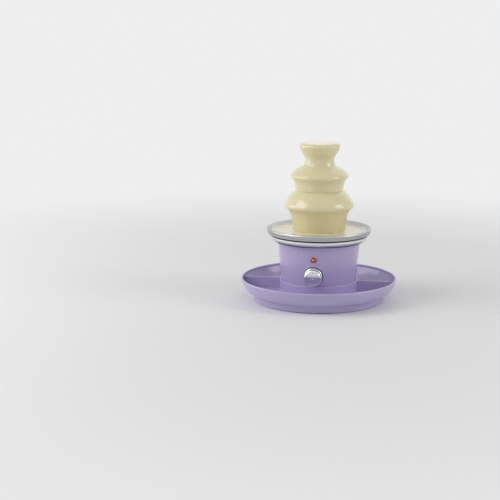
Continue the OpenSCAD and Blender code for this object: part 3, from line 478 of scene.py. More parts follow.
def cubic(points: Points, steps: int) -> list[Point]:
    """Points on a cubic curve.

    Args:
        points: First end, two control points and last end.
        steps: Number of steps.

    Returns:
        The points, both ends included.
    """
    line = []
    for i in range(steps + 1):
        t = i / steps
        shares = ((1 - t) ** 3, 3 * t * (1 - t) ** 2, 3 * t * t * (1 - t), t**3)
        line.append(tuple(sum(s * p[k] for s, p in zip(shares, points)) for k in (0, 1)))
    return line


def beside(line: Points, distance: Union[float, Sequence[float]]) -> list[Point]:
    """Move a line to its left.

    Args:
        line: The points of the line.
        distance: How far to move it, or how far to move each point.

    Returns:
        The moved points.
    """
    ways = [distance] * len(line) if isinstance(distance, (int, float)) else distance
    moved = []
    for i, ((r, z), way) in enumerate(zip(line, ways)):
        a, b = line[max(i - 1, 0)], line[min(i + 1, len(line) - 1)]
        length = math.hypot(b[0] - a[0], b[1] - a[1])
        moved.append((r - way * (b[1] - a[1]) / length, z + way * (b[0] - a[0]) / length))
    return moved


def growing(count: int, first: float, last: float, full: float = 1.0) -> list[float]:
    """Numbers that grow smoothly from first to last, which they reach at a share of the way."""
    shares = [min(1.0, i / (count - 1) / full) for i in range(count)]
    return [first + (last - first) * t * t * (3 - 2 * t) for t in shares]


def height_at(line: Points, r: float) -> float:
    """Height of a line at a radius.

    Args:
        line: Points with growing radius.
        r: The radius.

    Returns:
        The height between the two nearest points.
    """
    for (r0, z0), (r1, z1) in zip(line, line[1:]):
        if r0 <= r <= r1:
            return z0 + (z1 - z0) * (r - r0) / (r1 - r0)
    return line[-1][1] if r > line[-1][0] else line[0][1]


def add_ring(bm: BMesh, r: float, z: float, steps: int) -> list[BMVert]:
    """Add a ring of points around Z, or one point on the axis, by sizes in millimetres."""
    turns = [math.tau * k / steps for k in range(1 if r < POLE_R else steps)]
    return [bm.verts.new((r * math.cos(a) * MM, r * math.sin(a) * MM, z * MM)) for a in turns]


def join_rings(bm: BMesh, low: Sequence[BMVert], high: Sequence[BMVert]) -> None:
    """Join two rings of points by faces.

    Args:
        bm: Shape to add to.
        low: Points of one ring, or one point.
        high: As many points of the other ring, or one point.
    """
    steps = max(len(low), len(high))
    for k in range(steps if steps > 1 else 0):
        corners = [low[k % len(low)], low[(k + 1) % len(low)]]
        corners += [high[(k + 1) % len(high)], high[k % len(high)]]
        bm.faces.new(list(dict.fromkeys(corners)))


def turned_mesh(name: str, outline: Points, free: Sequence[float], steps: int) -> Mesh:
    """Turn a closed outline about Z.

    Args:
        name: Name of the mesh.
        outline: Radius and height of each point, in millimetres.
        free: How freely each point may move, from 0 to 1, kept as the attribute "free".
        steps: Number of steps around.

    Returns:
        The mesh, in metres.
    """
    bm = bmesh.new()
    layer = bm.verts.layers.float.new("free")
    rings = []
    for (r, z), share in zip(outline, free):
        rings.append(add_ring(bm, r, z, steps))
        for vert in rings[-1]:
            vert[layer] = share
    for low, high in zip(rings, rings[1:] + rings[:1]):
        join_rings(bm, low, high)
    return finished_mesh(name, bm)


def finished_mesh(name: str, bm: BMesh) -> Mesh:
    """Turn the faces of a closed shape outwards and smooth it.

    Args:
        name: Name of the mesh.
        bm: The shape, which is freed.

    Returns:
        The mesh.
    """
    bmesh.ops.recalc_face_normals(bm, faces=bm.faces[:])
    mesh = bpy.data.meshes.new(name)
    bm.to_mesh(mesh)
    bm.free()
    mesh.shade_smooth()
    mesh.set_sharp_from_angle(angle=SMOOTH_ANGLE)
    return mesh


def placed(name: str, data: bpy.types.ID) -> bpy.types.Object:
    """Add an object to the scene.

    Args:
        name: Its name.
        data: Its mesh, lamp or camera.

    Returns:
        The object.
    """
    item = bpy.data.objects.new(name, data)
    bpy.context.scene.collection.objects.link(item)
    return item


def around_axis(turn: float, r: float, z: float) -> Matrix:
    """Frame at a turn in degrees about Z, and a distance and height in millimetres."""
    return Matrix.Rotation(math.radians(turn), 4, "Z") @ Matrix.Translation((r * MM, 0, z * MM))


# Geometry Nodes

# Scales of the ripples on a film, around the axis and per metre down
RIPPLE_SCALES = (1.2, 240.0)
# Scales of its streaks and folds per metre down
STREAK_DOWN = 22.0
FOLD_DOWN = 60.0
# Scale, place and reach in radians of the noise that bends the rings on a pool, and scale of its swell
RING_BENDS = (2.2, 4.7, 3.0)
SWELL_SCALE = 55.0


class ShapeGroup(Group):
    """A Geometry Nodes tree that works on geometry and gives it a material."""

    def __init__(self, name: str, inputs: Mapping[str, str]) -> None:
        """Start the tree with its own inputs."""
        inputs = {"Geometry": GEOMETRY, **inputs, "Material": MATERIAL}
        super().__init__(name, "GeometryNodeTree", inputs, {"Geometry": GEOMETRY})

    def dress(self, shape: Feed) -> NodeTree:
        """End the tree in real geometry with its material.

        Args:
            shape: The geometry so far.

        Returns:
            The tree.
        """
        real = self.add("GeometryNodeRealizeInstances", {0: shape}).outputs[0]
        feeds = {"Geometry": real, "Material": self.given.outputs["Material"]}
        return self.close({"Geometry": self.add("GeometryNodeSetMaterial", feeds).outputs[0]})

    def move(self, direction: Feed, way: Feed) -> NodeTree:
        """End the tree by moving the points as far as they are free.

        Args:
            direction: Direction to move in.
            way: How far a free point moves.

        Returns:
            The tree.
        """
        free = self.add("GeometryNodeInputNamedAttribute", {"Name": "free"}, data_type="FLOAT")
        offset = self.scaled(direction, self.math("MULTIPLY", way, free.outputs[0]))
        feeds = {"Geometry": self.given.outputs["Geometry"], "Offset": offset}
        return self.dress(self.add("GeometryNodeSetPosition", feeds).outputs[0])


class Trees:
    """The Geometry Nodes trees that shape what flows and what repeats."""

    def __init__(self) -> None:
        """Build every tree once."""
        self.relief = self.flow_relief()
        self.ripples = self.pool_ripples()
        self.copies = self.copies_at_points()

    @staticmethod
    def flow_relief() -> NodeTree:
        """Streaks, folds and ripples on a film that runs down.

        Returns:
            The tree.
        """
        names = ("Streaks", "Streak height", "Folds", "Fold height", "Ripple height", "Drift")
        sketch = ShapeGroup("Flow relief", dict.fromkeys(names, FLOAT))
        streaks, streak_height, folds, fold_height, ripple_height, drift = sketch.take(names)
        place = sketch.add("GeometryNodeInputPosition").outputs[0]
        direction, _, z = sketch.around(place, CALM_R)
        way: Feed = 0.0
        for scale, down, height in (
            (streaks, STREAK_DOWN, streak_height),
            (folds, FOLD_DOWN, fold_height),
            (*RIPPLE_SCALES, ripple_height),
        ):
            along = sketch.math("MULTIPLY_ADD", z, down, drift)
            wave = sketch.closed_noise(direction, scale, along, detail=1.0)
            way = sketch.math("ADD", way, sketch.swing(wave, height))
        return sketch.move(sketch.add("GeometryNodeInputNormal").outputs[0], way)

    @staticmethod
    def pool_ripples() -> NodeTree:
        """Rings that run out over a pool from where a curtain falls into it.

        Returns:
            The tree.
        """
        names = ("Fall radius", "Ring spacing", "Ring height", "Fade", "Swell")
        sketch = ShapeGroup("Pool ripples", dict.fromkeys(names, FLOAT))
        fall_radius, spacing, height, fade, swell = sketch.take(names)
        place = sketch.add("GeometryNodeInputPosition").outputs[0]
        direction, radius, _ = sketch.around(place)
        scale, along, reach = RING_BENDS
        lag = sketch.swing(sketch.closed_noise(direction, scale, along, detail=2.0), reach)
        out = sketch.math("SUBTRACT", radius, fall_radius)
        phase = sketch.math("MULTIPLY_ADD", sketch.math("DIVIDE", out, spacing), math.tau, lag)
        lost = sketch.math("DIVIDE", sketch.math("ABSOLUTE", out), fade)
        strength = sketch.math("EXPONENT", sketch.math("MULTIPLY", lost, -1.0))
        rings = sketch.math("MULTIPLY", sketch.math("COSINE", phase), strength)
        swells = sketch.swing(sketch.noise(place, SWELL_SCALE, detail=1.0), swell)
        return sketch.move((0.0, 0.0, 1.0), sketch.math("MULTIPLY_ADD", rings, height, swells))

    @staticmethod
    def copies_at_points() -> NodeTree:
        """Copies of one shape at the points of a mesh, each turned by its point's "turn".

        Returns:
            The tree.
        """
        sketch = ShapeGroup("Copies at points", {"Shape": OBJECT})
        points, pattern = sketch.take(("Geometry", "Shape"))
        shape = sketch.add("GeometryNodeObjectInfo", {"Object": pattern})
        turn = sketch.add("GeometryNodeInputNamedAttribute", {"Name": "turn"}, data_type="FLOAT_VECTOR")
        rotation = sketch.add("FunctionNodeEulerToRotation", {0: turn.outputs[0]})
        feeds = {"Points": points, "Instance": shape.outputs["Geometry"], "Rotation": rotation.outputs[0]}
        return sketch.dress(sketch.add("GeometryNodeInstanceOnPoints", feeds).outputs[0])


class Workshop:
    """Makes finished pieces out of meshes, trees and finishes."""

    def __init__(self) -> None:
        """Build the shader groups, the materials and the trees."""
        groups = ShaderGroups()
        self.materials = {finish.slot: finish.material(groups) for finish in FINISHES}
        self.trees = Trees()

    def dress_solids(self) -> None:
        """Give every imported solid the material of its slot."""
        for part in frame["record"]["subparts"]:
            solid = frame["nodes"][part["node"]]
            solid.data.materials.clear()
            solid.data.materials.append(self.materials[part["material_slot"]])
            LOG.info("solid %s: %s", part["node"], part["material_slot"])

    def grow(
        self,
        name: str,
        mesh: Mesh,
        tree: NodeTree,
        values: Mapping[str, object],
        body: Body,
        slot: str,
        *nodes: str,
    ) -> None:
        """Run a tree on a mesh, keep the result as a plain mesh on a body and hide the solids it stands for.

        Args:
            name: Name of the piece.
            mesh: Mesh that the tree works on.
            tree: The Geometry Nodes tree.
            values: What goes into the tree's own inputs.
            body: Body that the piece rides on.
            slot: Material slot that it takes its finish from.
            nodes: Solids that it stands for.
        """
        draft = placed(name + "_draft", mesh)
        modifier = draft.modifiers.new("Shape", "NODES")
        modifier.node_group = tree
        sockets = {s.name: s.identifier for s in tree.interface.items_tree if s.in_out == "INPUT"}
        for label, value in {**values, "Material": self.materials[slot]}.items():
            modifier[sockets[label]] = value
        depsgraph = bpy.context.evaluated_depsgraph_get()
        result = bpy.data.meshes.new_from_object(draft.evaluated_get(depsgraph), depsgraph=depsgraph)
        result.name = name
        for attribute in ("free", "turn"):
            if attribute in result.attributes:
                result.attributes.remove(result.attributes[attribute])
        bpy.data.objects.remove(draft)
        piece = placed(name, result)
        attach(piece, body.value)
        if nodes:
            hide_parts(*nodes)
        LOG.info("piece %s on %s: %d faces", name, body.value, len(result.polygons))

    def copies(
        self, name: str, shape: Mesh, places: Sequence[Matrix], body: Body, slot: str, *nodes: str
    ) -> None:
        """Set copies of a shape at places, as one piece.

        Args:
            name: Name of the piece.
            shape: Mesh that is copied.
            places: Frame of each copy.
            body: Body that the piece rides on.
            slot: Material slot that it takes its finish from.
            nodes: Solids that it stands for.
        """
        points = bpy.data.meshes.new(name + "_points")
        points.from_pydata([place.translation for place in places], [], [])
        turns = points.attributes.new("turn", "FLOAT_VECTOR", "POINT")
        for item, place in zip(turns.data, places):
            item.vector = place.to_euler()
        pattern = placed(name + "_shape", shape)
        self.grow(name, points, self.trees.copies, {"Shape": pattern}, body, slot, *nodes)
        bpy.data.objects.remove(pattern)


# Sub-assemblies


@dataclass(frozen=True)
class Tier:
    """A tier of the tower and the curtain that falls from it.

    Attributes:
        hub: Inner end of its upper line.
        rim: Outer end of that line.
        bends: Shares of the line's run and drop at its two control points.
        lip_r: Radius of the lip that the chocolate makes on the rim.
        fall_r: Outer radius of the curtain.
        foot: Height over the surface below at which the curtain's face ends, how far its foot
            draws in from there, and how deep the foot dips in.
    """

    hub: Point
    rim: Point
    bends: tuple[Point, Point]
    lip_r: float
    fall_r: float
    foot: Triple

    def line(self) -> list[Point]:
        """Draw the upper line.

        Returns:
            The line from hub to rim.
        """
        run, drop = self.rim[0] - self.hub[0], self.hub[1] - self.rim[1]
        bends = [(self.hub[0] + across * run, self.hub[1] - down * drop) for across, down in self.bends]
        return cubic((self.hub, *bends, self.rim), steps=40)


@dataclass
class Chocolate:
    """Chocolate that wells up in the crown, runs over the tiers and fills the bowl.

    Attributes:
        film: Thickness at a hub and of a curtain.
        wall: Thickness of the tiers and the crown, to which the film keeps the gap.
        film_full: Share of a tier's line at which the film is as thick as at the lip.
        lip_back: Points of that line by which the lip's centre stays behind the rim.
        lip_turn: Angle under the level to which the lip rounds, in degrees.
        lip_ease: Share of the drop along which the curtain follows the lip's end.
        face_bend: Way out and share of the drop of the bend above the curtain's face.
        foot_bend: Distance of the bends from the foot's corner.
        inner_turn: Angle under the level to which the inside rounds the rim, in degrees.
        inner_out: Way out of its foot of the bends of the inside.
        inner_downs: Ways down from the rim of those bends.
        crown_line: Ends and control points of the crown's outer line.
        crown_fillet: Extra thickness where the crown's film meets the film below.
        crown_fillet_points: Points of the crown's line over which that is lost.
        crown_skirt: Way out and depth of the film's edge there.
        dome_bends: Distances of the dome's bends, from the lip and from the axis.
        calm_r: Radius inside which the dome grows calm.
        crown_corner: Way in and up by which the cup's lowest corner is cut.
        well: Radius and height of the tube's end in the crown.
        pool_still: Rows at the pool's edge that are not quite free.
        pool_edge: Height and reach of the edge that the bowl's wall draws up.
        pool_mound: Height and reach of the mound around the lower curtain.
        pool_hole_edge: Width and drop of the pool's edge at the hole for the tower.
        bowl_seat: Start of the bowl's wall, which ends at the lip.
    """

    steps: int = 224
    film: float = 2.8
    gap: float = 0.12
    wall: float = 1.8
    lower: Tier = Tier(
        hub=(25.05, 219.3), rim=(61.0, 182.8), bends=((0.34, 0.18), (0.81, 0.53)),
        lip_r=7.0, fall_r=51.0, foot=(0.0, 0.1, 0.8),
    )
    middle: Tier = Tier(
        hub=(23.85, 261.3), rim=(51.0, 239.8), bends=((0.11, 0.23), (0.87, 0.72)),
        lip_r=5.8, fall_r=45.5, foot=(2.6, 1.6, 0.5),
    )
    film_full: float = 0.65
    lip_back: int = 1
    lip_turn: float = 57.0
    lip_ease: float = 0.25
    face_bend: Point = (1.2, 0.52)
    foot_bend: float = 0.3
    inner_turn: float = 110.0
    inner_out: float = 3.0
    inner_downs: Point = (3.0, 10.0)
    crown_line: Points = ((23.85, 261.9), (23.65, 281.3), (29.2, 281.3), (34.2, 295.8))
    crown_film: float = 3.0
    crown_fillet: float = 2.6
    crown_fillet_points: int = 15
    crown_skirt: Point = (1.2, 0.3)
    crown_lip_r: float = 6.0
    crown_dome: float = 2.3
    dome_bends: Point = (8.0, 16.0)
    calm_r: float = 24.0
    crown_floor: float = 277.9
    crown_corner: Point = (1.2, 1.5)
    well: Point = (21.9, 283.9)
    sink: float = 0.5
    pool_z: float = 134.6
    pool_gap: float = 0.1
    pool_rows: int = 110
    pool_still: int = 4
    pool_edge: Point = (0.9, 1.6)
    pool_mound: Point = (1.3, 2.4)
    pool_hole_r: float = 33.9
    pool_hole_edge: float = 1.0
    bowl_floor: float = 102.2
    bowl_fillet: float = 12.0
    bowl_seat: Point = (70.48, 115.4)
    bowl_lip: Point = (97.3, 137.5)
    bowl_lip_r: float = 2.7

    def film_top(self, tier: Tier) -> list[Point]:
        """Surface of the film on a tier, which thickens towards the lip.

        Args:
            tier: The tier.

        Returns:
            The line of the surface.
        """
        covered = tier.line()[: -self.lip_back]
        last = tier.lip_r - self.wall / 2
        return beside(covered, growing(len(covered), self.gap + self.film, last, self.film_full))

    def rim_of(self, line: Points, side: float = 1.0) -> tuple[Point, float]:
        """Middle of a tier's wall at the end of its line.

        Args:
            line: Line of one face of the tier.
            side: 1 where that face looks to the line's left, -1 where it looks to its right.

        Returns:
            The middle, and the direction out of the face in degrees.
        """
        last, before = line[-1], line[-2]
        length = side * math.hypot(last[0] - before[0], last[1] - before[1])
        normal = ((before[1] - last[1]) / length, (last[0] - before[0]) / length)
        middle = (last[0] - normal[0] * self.wall / 2, last[1] - normal[1] * self.wall / 2)
        return middle, math.degrees(math.atan2(normal[1], normal[0]))

    def fall(self, tier: Tier, below: Points) -> Outline:
        """Outline of a film that rounds a tier's rim and falls as a curtain.

        Args:
            tier: The tier.
            below: Line of the surface that the curtain falls on.

        Returns:
            The outline.
        """
        rise, tuck, dip = tier.foot
        face_r = tier.fall_r
        face_end = (face_r, height_at(below, face_r) + rise)
        foot_out, foot_in = ((r, height_at(below, r) - dip) for r in (face_r - tuck, face_r - self.film))
        line = tier.line()
        lip, lean = self.rim_of(line[: -self.lip_back])
        outside = self.film_top(tier) + arc(lip, tier.lip_r, lean, -self.lip_turn, steps=20)[1:]
        r, z = outside[-1]
        turn = math.radians(self.lip_turn)
        drop = z - face_end[1]
        way = self.lip_ease * drop
        under = (r - way * math.sin(turn), z - way * math.cos(turn))
        bend = (face_r + self.face_bend[0], z - self.face_bend[1] * drop)
        outside += cubic((outside[-1], under, bend, face_end), steps=40)[1:]
        bends = ((face_r, foot_out[1] + self.foot_bend), (face_r - self.foot_bend, foot_out[1]))
        outside += cubic((face_end, *bends, foot_out), steps=8)[1:]
        rim, lean = self.rim_of(line)
        inside = arc(rim, self.wall / 2 + self.gap, lean, -self.inner_turn, steps=10)
        bends = [(foot_in[0] + self.inner_out, inside[-1][1] - down) for down in self.inner_downs]
        inside += cubic((inside[-1], *bends, foot_in), steps=16)[1:]
        hidden = beside(line, self.gap)[::2] + inside[1:]
        return outside + hidden[::-1], [1.0] * len(outside) + [0.0] * len(hidden)

    def crown_outline(self, below: Points) -> Outline:
        """Outline of the chocolate in and on the crown.

        Args:
            below: Surface of the film on the tier below.

        Returns:
            The outline.
        """
        line = cubic(self.crown_line, steps=42)
        coat = growing(len(line), self.gap + self.crown_film, self.crown_lip_r - self.wall / 2)
        lost = [max(0.0, 1 - i / self.crown_fillet_points) for i in range(len(line))]
        over = beside(line, [-c - self.crown_fillet * share**2 for c, share in zip(coat, lost)])
        over = [p for p in over if p[1] > height_at(below, p[0])]
        out, deep = self.crown_skirt
        skirt_r = over[0][0] + out
        over.insert(0, (skirt_r, height_at(below, skirt_r) - deep))
        rim, lean = self.rim_of(line, -1.0)
        lip = arc(rim, self.crown_lip_r, lean, 90, steps=24)
        r, z = lip[-1]
        peak = z + self.crown_dome
        bends = ((r - self.dome_bends[0], z), (self.dome_bends[1], peak))
        dome = cubic((lip[-1], *bends, (0, peak)), steps=40)
        shown = over + lip[1:] + dome[1:]
        corner_in, corner_up = self.crown_corner
        cup = [p for p in beside(line, self.wall + self.gap) if p[1] > self.crown_floor + corner_up]
        floor = self.crown_floor + self.gap
        hidden = [(0, self.well[1]), self.well, (self.well[0], floor), (cup[0][0] - corner_in, floor)]
        hidden += cup + arc(rim, self.wall / 2 + self.gap, lean + 180, lean, steps=10)[1:]
        face = [p for p in beside(line, -self.gap) if p[1] > height_at(below, p[0]) - self.sink]
        hidden += face[::-1][1:]
        return shown + hidden, [min(1.0, (r / self.calm_r) ** 2) for r, _ in shown] + [0.0] * len(hidden)

    def pool_outline(self) -> Outline:
        """Outline of the pool in the bowl, with its edge drawn up the wall.

        Returns:
            The outline.
        """
        seat, lip, fillet = self.bowl_seat, self.bowl_lip, self.bowl_fillet
        across, up = lip[0] - seat[0], lip[1] - seat[1]
        angle = math.atan2(across, up) - math.asin(self.bowl_lip_r / math.hypot(across, up))
        centre_z = self.bowl_floor + fillet
        along = (centre_z - seat[1] - fillet * math.sin(angle)) / math.cos(angle)
        centre = (seat[0] - fillet * math.cos(angle) + along * math.sin(angle), centre_z)
        wall = [(self.pool_hole_r, self.bowl_floor + self.pool_gap)]
        wall += arc(centre, fillet - self.pool_gap, -90, -math.degrees(angle), steps=8)
        (edge, edge_reach), (mound, mound_reach) = self.pool_edge, self.pool_mound
        edge_z = self.pool_z + edge
        edge_r = seat[0] + (edge_z - seat[1]) * math.tan(angle) - self.pool_gap / math.cos(angle)
        inner_r = self.pool_hole_r + self.pool_hole_edge
        top = []
        free = [0.0] * len(wall)
        for i in range(self.pool_rows + 1):
            r = edge_r + (inner_r - edge_r) * i / self.pool_rows
            drawn = edge * math.exp((r - edge_r) / edge_reach)
            heaped = mound * math.exp(-abs(r - self.lower.fall_r) / mound_reach)
            top.append((r, self.pool_z + max(drawn, heaped)))
            free.append(min(1.0, i / self.pool_still))
        top.append((self.pool_hole_r, self.pool_z - self.pool_hole_edge))
        return wall + top, free + [0.0]

    def build(self, shop: Workshop) -> None:
        """Make the falls, the crown's flow and the pool.

        Args:
            shop: Workshop that finishes the pieces.
        """
        pool = [(0.0, self.pool_z), (self.bowl_lip[0], self.pool_z)]
        lower = self.fall(self.lower, pool)
        middle = self.fall(self.middle, self.film_top(self.lower))
        crown = self.crown_outline(self.film_top(self.middle))
        flow = {
            "Streaks": 7.0,
            "Streak height": 0.22 * MM,
            "Folds": 1.5,
            "Fold height": 0.45 * MM,
            "Ripple height": 0.1 * MM,
        }
        rings = {
            "Fall radius": self.lower.fall_r * MM,
            "Ring spacing": 8.5 * MM,
            "Ring height": 0.35 * MM,
            "Fade": 14 * MM,
            "Swell": 0.5 * MM,
        }
        for name, node, drift, (outline, free) in (
            ("chocolate_lower_fall", "lower_curtain", 0.0, lower),
            ("chocolate_middle_fall", "middle_curtain", 11.3, middle),
            ("chocolate_crown_fall", "crown_flow", 23.9, crown),
        ):
            mesh = turned_mesh(name, outline, free, self.steps)
            values = {**flow, "Drift": drift}
            shop.grow(name, mesh, shop.trees.relief, values, Body.TOWER, "chocolate", node)
        name, node = "chocolate_in_bowl", "chocolate_pool"
        mesh = turned_mesh(name, *self.pool_outline(), self.steps)
        shop.grow(name, mesh, shop.trees.ripples, rings, Body.BASE, "chocolate", node)


@dataclass
class Pads:
    """Rubber pads under the tray and feet under the housing, with a hollow in each face.

    Attributes:
        tray: Radius and height of a tray pad, and radius and height of the ring of pads.
        base: The same for the feet.
        hollow_edge: Distances of the hollow's floor and its mouth from the pad's side.
        lead: Length of the flat before the rounded edge.
    """

    tray: tuple[float, ...] = (7.0, 2.4, 112.0, 0.0)
    tray_turns: tuple[float, ...] = (30, 90, 150, 210, 270, 330)
    base: tuple[float, ...] = (6.5, 3.0, 56.1, 17.4)
    base_turns: tuple[float, ...] = (0, 90, 180, 270)
    hollow: float = 0.6
    hollow_edge: Point = (3.4, 2.9)
    round_r: float = 1.0
    lead: float = 0.1

    def pad(self, name: str, radius: float, height: float) -> Mesh:
        """Make one pad that stands on z = 0.

        Args:
            name: Name of the mesh.
            radius: Its radius.
            height: Its height.

        Returns:
            The mesh.
        """
        floor_r, mouth_r = (radius - way for way in self.hollow_edge)
        centre = (radius - self.round_r, self.round_r)
        outline = [(0, self.hollow), (floor_r, self.hollow), (mouth_r, 0), (centre[0] - self.lead, 0)]
        outline += arc(centre, self.round_r, -90, 0, steps=6) + [(radius, height), (0, height)]
        return turned_mesh(name, outline, [0.0] * len(outline), steps=40)

    def build(self, shop: Workshop) -> None:
        """Set the pads and the feet.

        Args:
            shop: Workshop that finishes the pieces.
        """
        for name, body, node, (radius, height, ring_r, z), turns in (
            ("tray_pads_rubber", Body.TRAY, "tray_pads", self.tray, self.tray_turns),
            ("base_feet_rubber", Body.BASE, "base_feet", self.base, self.base_turns),
        ):
            places = [around_axis(turn, ring_r, z) for turn in turns]
            shop.copies(name, self.pad(node + "_shape", radius, height), places, body, "rubber", node)


@dataclass
class BaseScrews:
    """Pan-head screws with a cross recess that hold the base plate.

    Attributes:
        profile: Radius and height of the outline, from the head's face to the shank's end.
        arm: Half the width of the cross.
        reach: Half its length.
        floor_share: Size of its floor as a share of its mouth.
        cross_turn: Turn of each cross past the one before, in radians.
    """

    profile: Points = (
        (2.5, 0.0), (3.0, 0.12), (3.3, 0.45), (3.4, 0.9), (3.4, 2.0), (1.6, 2.0), (1.6, 13.2), (0.9, 14.0),
    )
    sides: int = 32
    arm: float = 0.42
    reach: float = 1.75
    depth: float = 1.0
    floor_share: float = 0.72
    ring_r: float = 59.1
    head_z: float = 19.8
    turns: tuple[float, ...] = (56.5, 146.5, 236.5, 326.5)
    cross_turn: float = 0.35

    def screw(self) -> Mesh:
        """Make one screw with its head down on z = 0.

        Returns:
            The mesh.
        """
        bm = bmesh.new()
        rings = [add_ring(bm, r, z, self.sides) for r, z in self.profile]
        for low, high in zip(rings, rings[1:]):
            join_rings(bm, low, high)
        bm.faces.new(rings[-1])
        a, r = self.arm, self.reach
        corners = [
            (r, -a), (r, a), (a, a), (a, r), (-a, r), (-a, a),
            (-r, a), (-r, -a), (-a, -a), (-a, -r), (a, -r), (a, -a),
        ]
        mouth, floor = (
            [bm.verts.new(Vector((x * share, y * share, z)) * MM) for x, y in corners]
            for share, z in ((1.0, 0.0), (self.floor_share, self.depth))
        )
        edges = [bm.edges.new(pair) for pair in zip(mouth, mouth[1:] + mouth[:1])]
        edges += [bm.edges.get(pair) for pair in zip(rings[0], rings[0][1:] + rings[0][:1])]
        bmesh.ops.triangle_fill(bm, edges=edges, use_beauty=True)
        join_rings(bm, mouth, floor)
        bm.faces.new(floor)
        return finished_mesh("base_screw", bm)

    def build(self, shop: Workshop) -> None:
        """Set the four screws.

        Args:
            shop: Workshop that finishes the pieces.
        """
        places = [
            around_axis(turn, self.ring_r, self.head_z) @ Matrix.Rotation(self.cross_turn * k, 4, "Z")
            for k, turn in enumerate(self.turns)
        ]
        shop.copies("base_screws_cross", self.screw(), places, Body.BASE, "screw_steel", "base_screws")


@dataclass
class Controls:
    """Raised marks of the knob's positions and a dark rubber ring behind the knob, on the housing; the ring
    is a guessed gasket whose dark also stands in for painted shade around the knob.

    Attributes:
        mark: Radius of a mark and its height over the wall, along its outline.
        shade_seal: Distance of the dark ring from the knob's axis and its height, along its outline.
    """

    mark: Points = (
        (0, -0.4), (1.0, -0.4), (1.0, 0.05), (0.92, 0.2), (0.7, 0.33), (0.35, 0.4), (0, 0.42),
    )
    mark_steps: int = 24
    mark_ring_r: float = 20.8
    mark_turns: tuple[float, ...] = (0.0, 60.0, 120.0)
    shade_seal: Points = (
        (14.4, -0.4), (14.4, 0.5), (17.4, 0.6), (18.0, 0.45), (18.3, 0.15), (18.3, -0.4),
    )
    shade_seal_steps: int = 96

    @staticmethod
    def around_knob(radius: float, turn: float) -> Matrix:
        """Frame on the wall at a distance from the knob's axis and a turn from the top in radians."""
        z = KNOB_Z + radius * math.cos(turn)
        return on_wall(radius * math.sin(turn) / housing_r(z), z)

    def shade_seal_ring(self) -> Mesh:
        """Make the dark rubber ring that lies on the wall behind the knob, which also stands in for painted
        shade around it.

        Returns:
            The mesh, in its place.
        """
        bm = bmesh.new()
        rows = []
        for k in range(self.shade_seal_steps):
            turn = math.tau * k / self.shade_seal_steps
            spots = [self.around_knob(r, turn) @ Vector((0, 0, h * MM)) for r, h in self.shade_seal]
            rows.append([bm.verts.new(spot) for spot in spots])
        for row, following in zip(rows, rows[1:] + rows[:1]):
            join_rings(bm, row, following)
        return finished_mesh("knob_shade_seal", bm)

    def build(self, shop: Workshop) -> None:
        """Set the marks and the dark ring, which also paints the shade around the knob.

        Args:
            shop: Workshop that finishes the pieces.
        """
        mark = turned_mesh("position_mark", self.mark, [0.0] * len(self.mark), self.mark_steps)
        places = [self.around_knob(self.mark_ring_r, math.radians(turn)) for turn in self.mark_turns]
        shop.copies("position_marks", mark, places, Body.BASE, "lavender")
        # A guessed rubber gasket behind the knob; its dark also stands in for the shade around the knob, so
        # it is in part painted shade.
        shop.copies("knob_seal_ring", self.shade_seal_ring(), [Matrix()], Body.BASE, "rubber")


# Studio


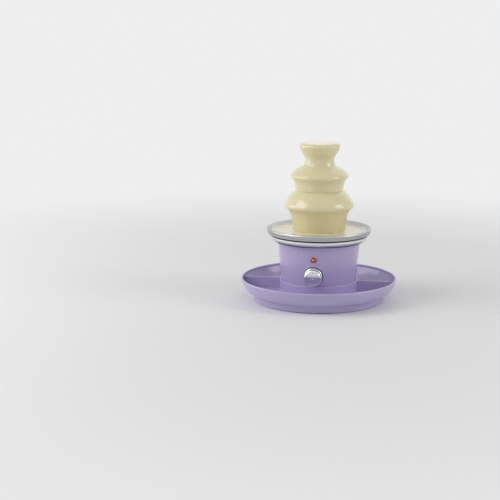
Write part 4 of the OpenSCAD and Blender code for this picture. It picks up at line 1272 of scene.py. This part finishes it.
@dataclass
class Studio:
    """Camera, floor and soft light.

    Attributes:
        eye: Place of the camera.
        look: Turn of the camera about each axis, in degrees.
        lens: Focal length in millimetres.
        lamps: Place, side and power of each lamp.
        lit: Point that the lamps face.
        pale: Grey of the floor and the background.
        ambient: Strength of the light from all around.
        floor_r: Radius of the floor.
        fade: Distances at which the floor starts and ends to fade into the background.
    """

    eye: Triple = (0.288, -2.282, 0.554)
    look: Triple = (78.695375, 0.0, 10.495032)
    lens: float = 87.48
    lamps: tuple[tuple[Triple, float, float], ...] = (
        ((-1.65, -0.75, 1.35), 1.3, 17.5),
        ((-1.60, 0.10, 0.42), 0.7, 3.2),
        ((1.65, -0.25, 0.95), 0.85, 8.0),
        ((0.3, 1.4, 1.3), 1.6, 2.0),
    )
    lit: Triple = (0.0, 0.0, 0.13)
    pale: float = 0.86
    ambient: float = 0.47
    floor_r: float = 3.5
    fade: Point = (0.35, 1.5)

    def camera(self) -> None:
        """Set the camera."""
        data = bpy.data.cameras.new("camera")
        data.lens = self.lens
        camera = placed("camera", data)
        camera.location = self.eye
        camera.rotation_euler = [math.radians(turn) for turn in self.look]
        bpy.context.scene.camera = camera

    def floor(self) -> None:
        """Lay a pale round floor that fades into the background."""
        bm = bmesh.new()
        bmesh.ops.create_circle(bm, cap_ends=True, segments=96, radius=self.floor_r)
        mesh = bpy.data.meshes.new("floor")
        bm.to_mesh(mesh)
        bm.free()
        material = bpy.data.materials.new("floor")
        material.use_nodes = True
        tree = material.node_tree
        sketch = Sketch(tree)
        grey = (self.pale, self.pale, self.pale, 1.0)
        shader = tree.nodes["Principled BSDF"]
        for name, value in (("Base Color", grey), ("Roughness", 0.75), ("Specular IOR Level", 0.2)):
            shader.inputs[name].default_value = value
        plain = sketch.add("ShaderNodeEmission", {"Color": grey, "Strength": 1.0})
        place = sketch.add("ShaderNodeTexCoord").outputs["Object"]
        _, radius, _ = sketch.around(place)
        faded = sketch.between(radius, *self.fade)
        mix = sketch.add("ShaderNodeMixShader", {0: faded, 1: shader.outputs[0], 2: plain.outputs[0]})
        sketch.feed(tree.nodes["Material Output"].inputs["Surface"], mix.outputs[0])
        mesh.materials.append(material)
        placed("floor", mesh)

    def light(self) -> None:
        """Set the world and the lamps."""
        world = bpy.data.worlds.new("studio")
        bpy.context.scene.world = world
        world.use_nodes = True
        sketch = Sketch(world.node_tree)
        ground = world.node_tree.nodes["Background"]
        ray = sketch.add("ShaderNodeLightPath")
        seen = sketch.math("MAXIMUM", ray.outputs["Is Camera Ray"], ray.outputs["Is Glossy Ray"])
        seen = sketch.math("MAXIMUM", seen, ray.outputs["Is Transmission Ray"])
        strength = sketch.math("MULTIPLY_ADD", seen, self.pale - self.ambient, self.ambient)
        ground.inputs["Color"].default_value = (1.0, 1.0, 1.0, 1.0)
        sketch.feed(ground.inputs["Strength"], strength)
        for number, (place, side, power) in enumerate(self.lamps):
            data = bpy.data.lights.new(f"lamp_{number}", "AREA")
            data.size = side
            data.energy = power
            lamp = placed(f"lamp_{number}", data)
            lamp.location = place
            lamp.rotation_euler = (Vector(self.lit) - Vector(place)).to_track_quat("-Z", "Y").to_euler()

    def build(self) -> None:
        """Set up the whole studio."""
        bpy.context.scene.view_settings.view_transform = "Standard"
        self.camera()
        self.floor()
        self.light()


def main() -> None:
    """Set up the studio, dress the solids and add the pieces."""
    logging.basicConfig(level=logging.INFO, format="%(name)s: %(message)s")
    Studio().build()
    shop = Workshop()
    shop.dress_solids()
    for assembly in (Chocolate(), Pads(), BaseScrews(), Controls()):
        assembly.build(shop)


if __name__ == "__main__":
    main()
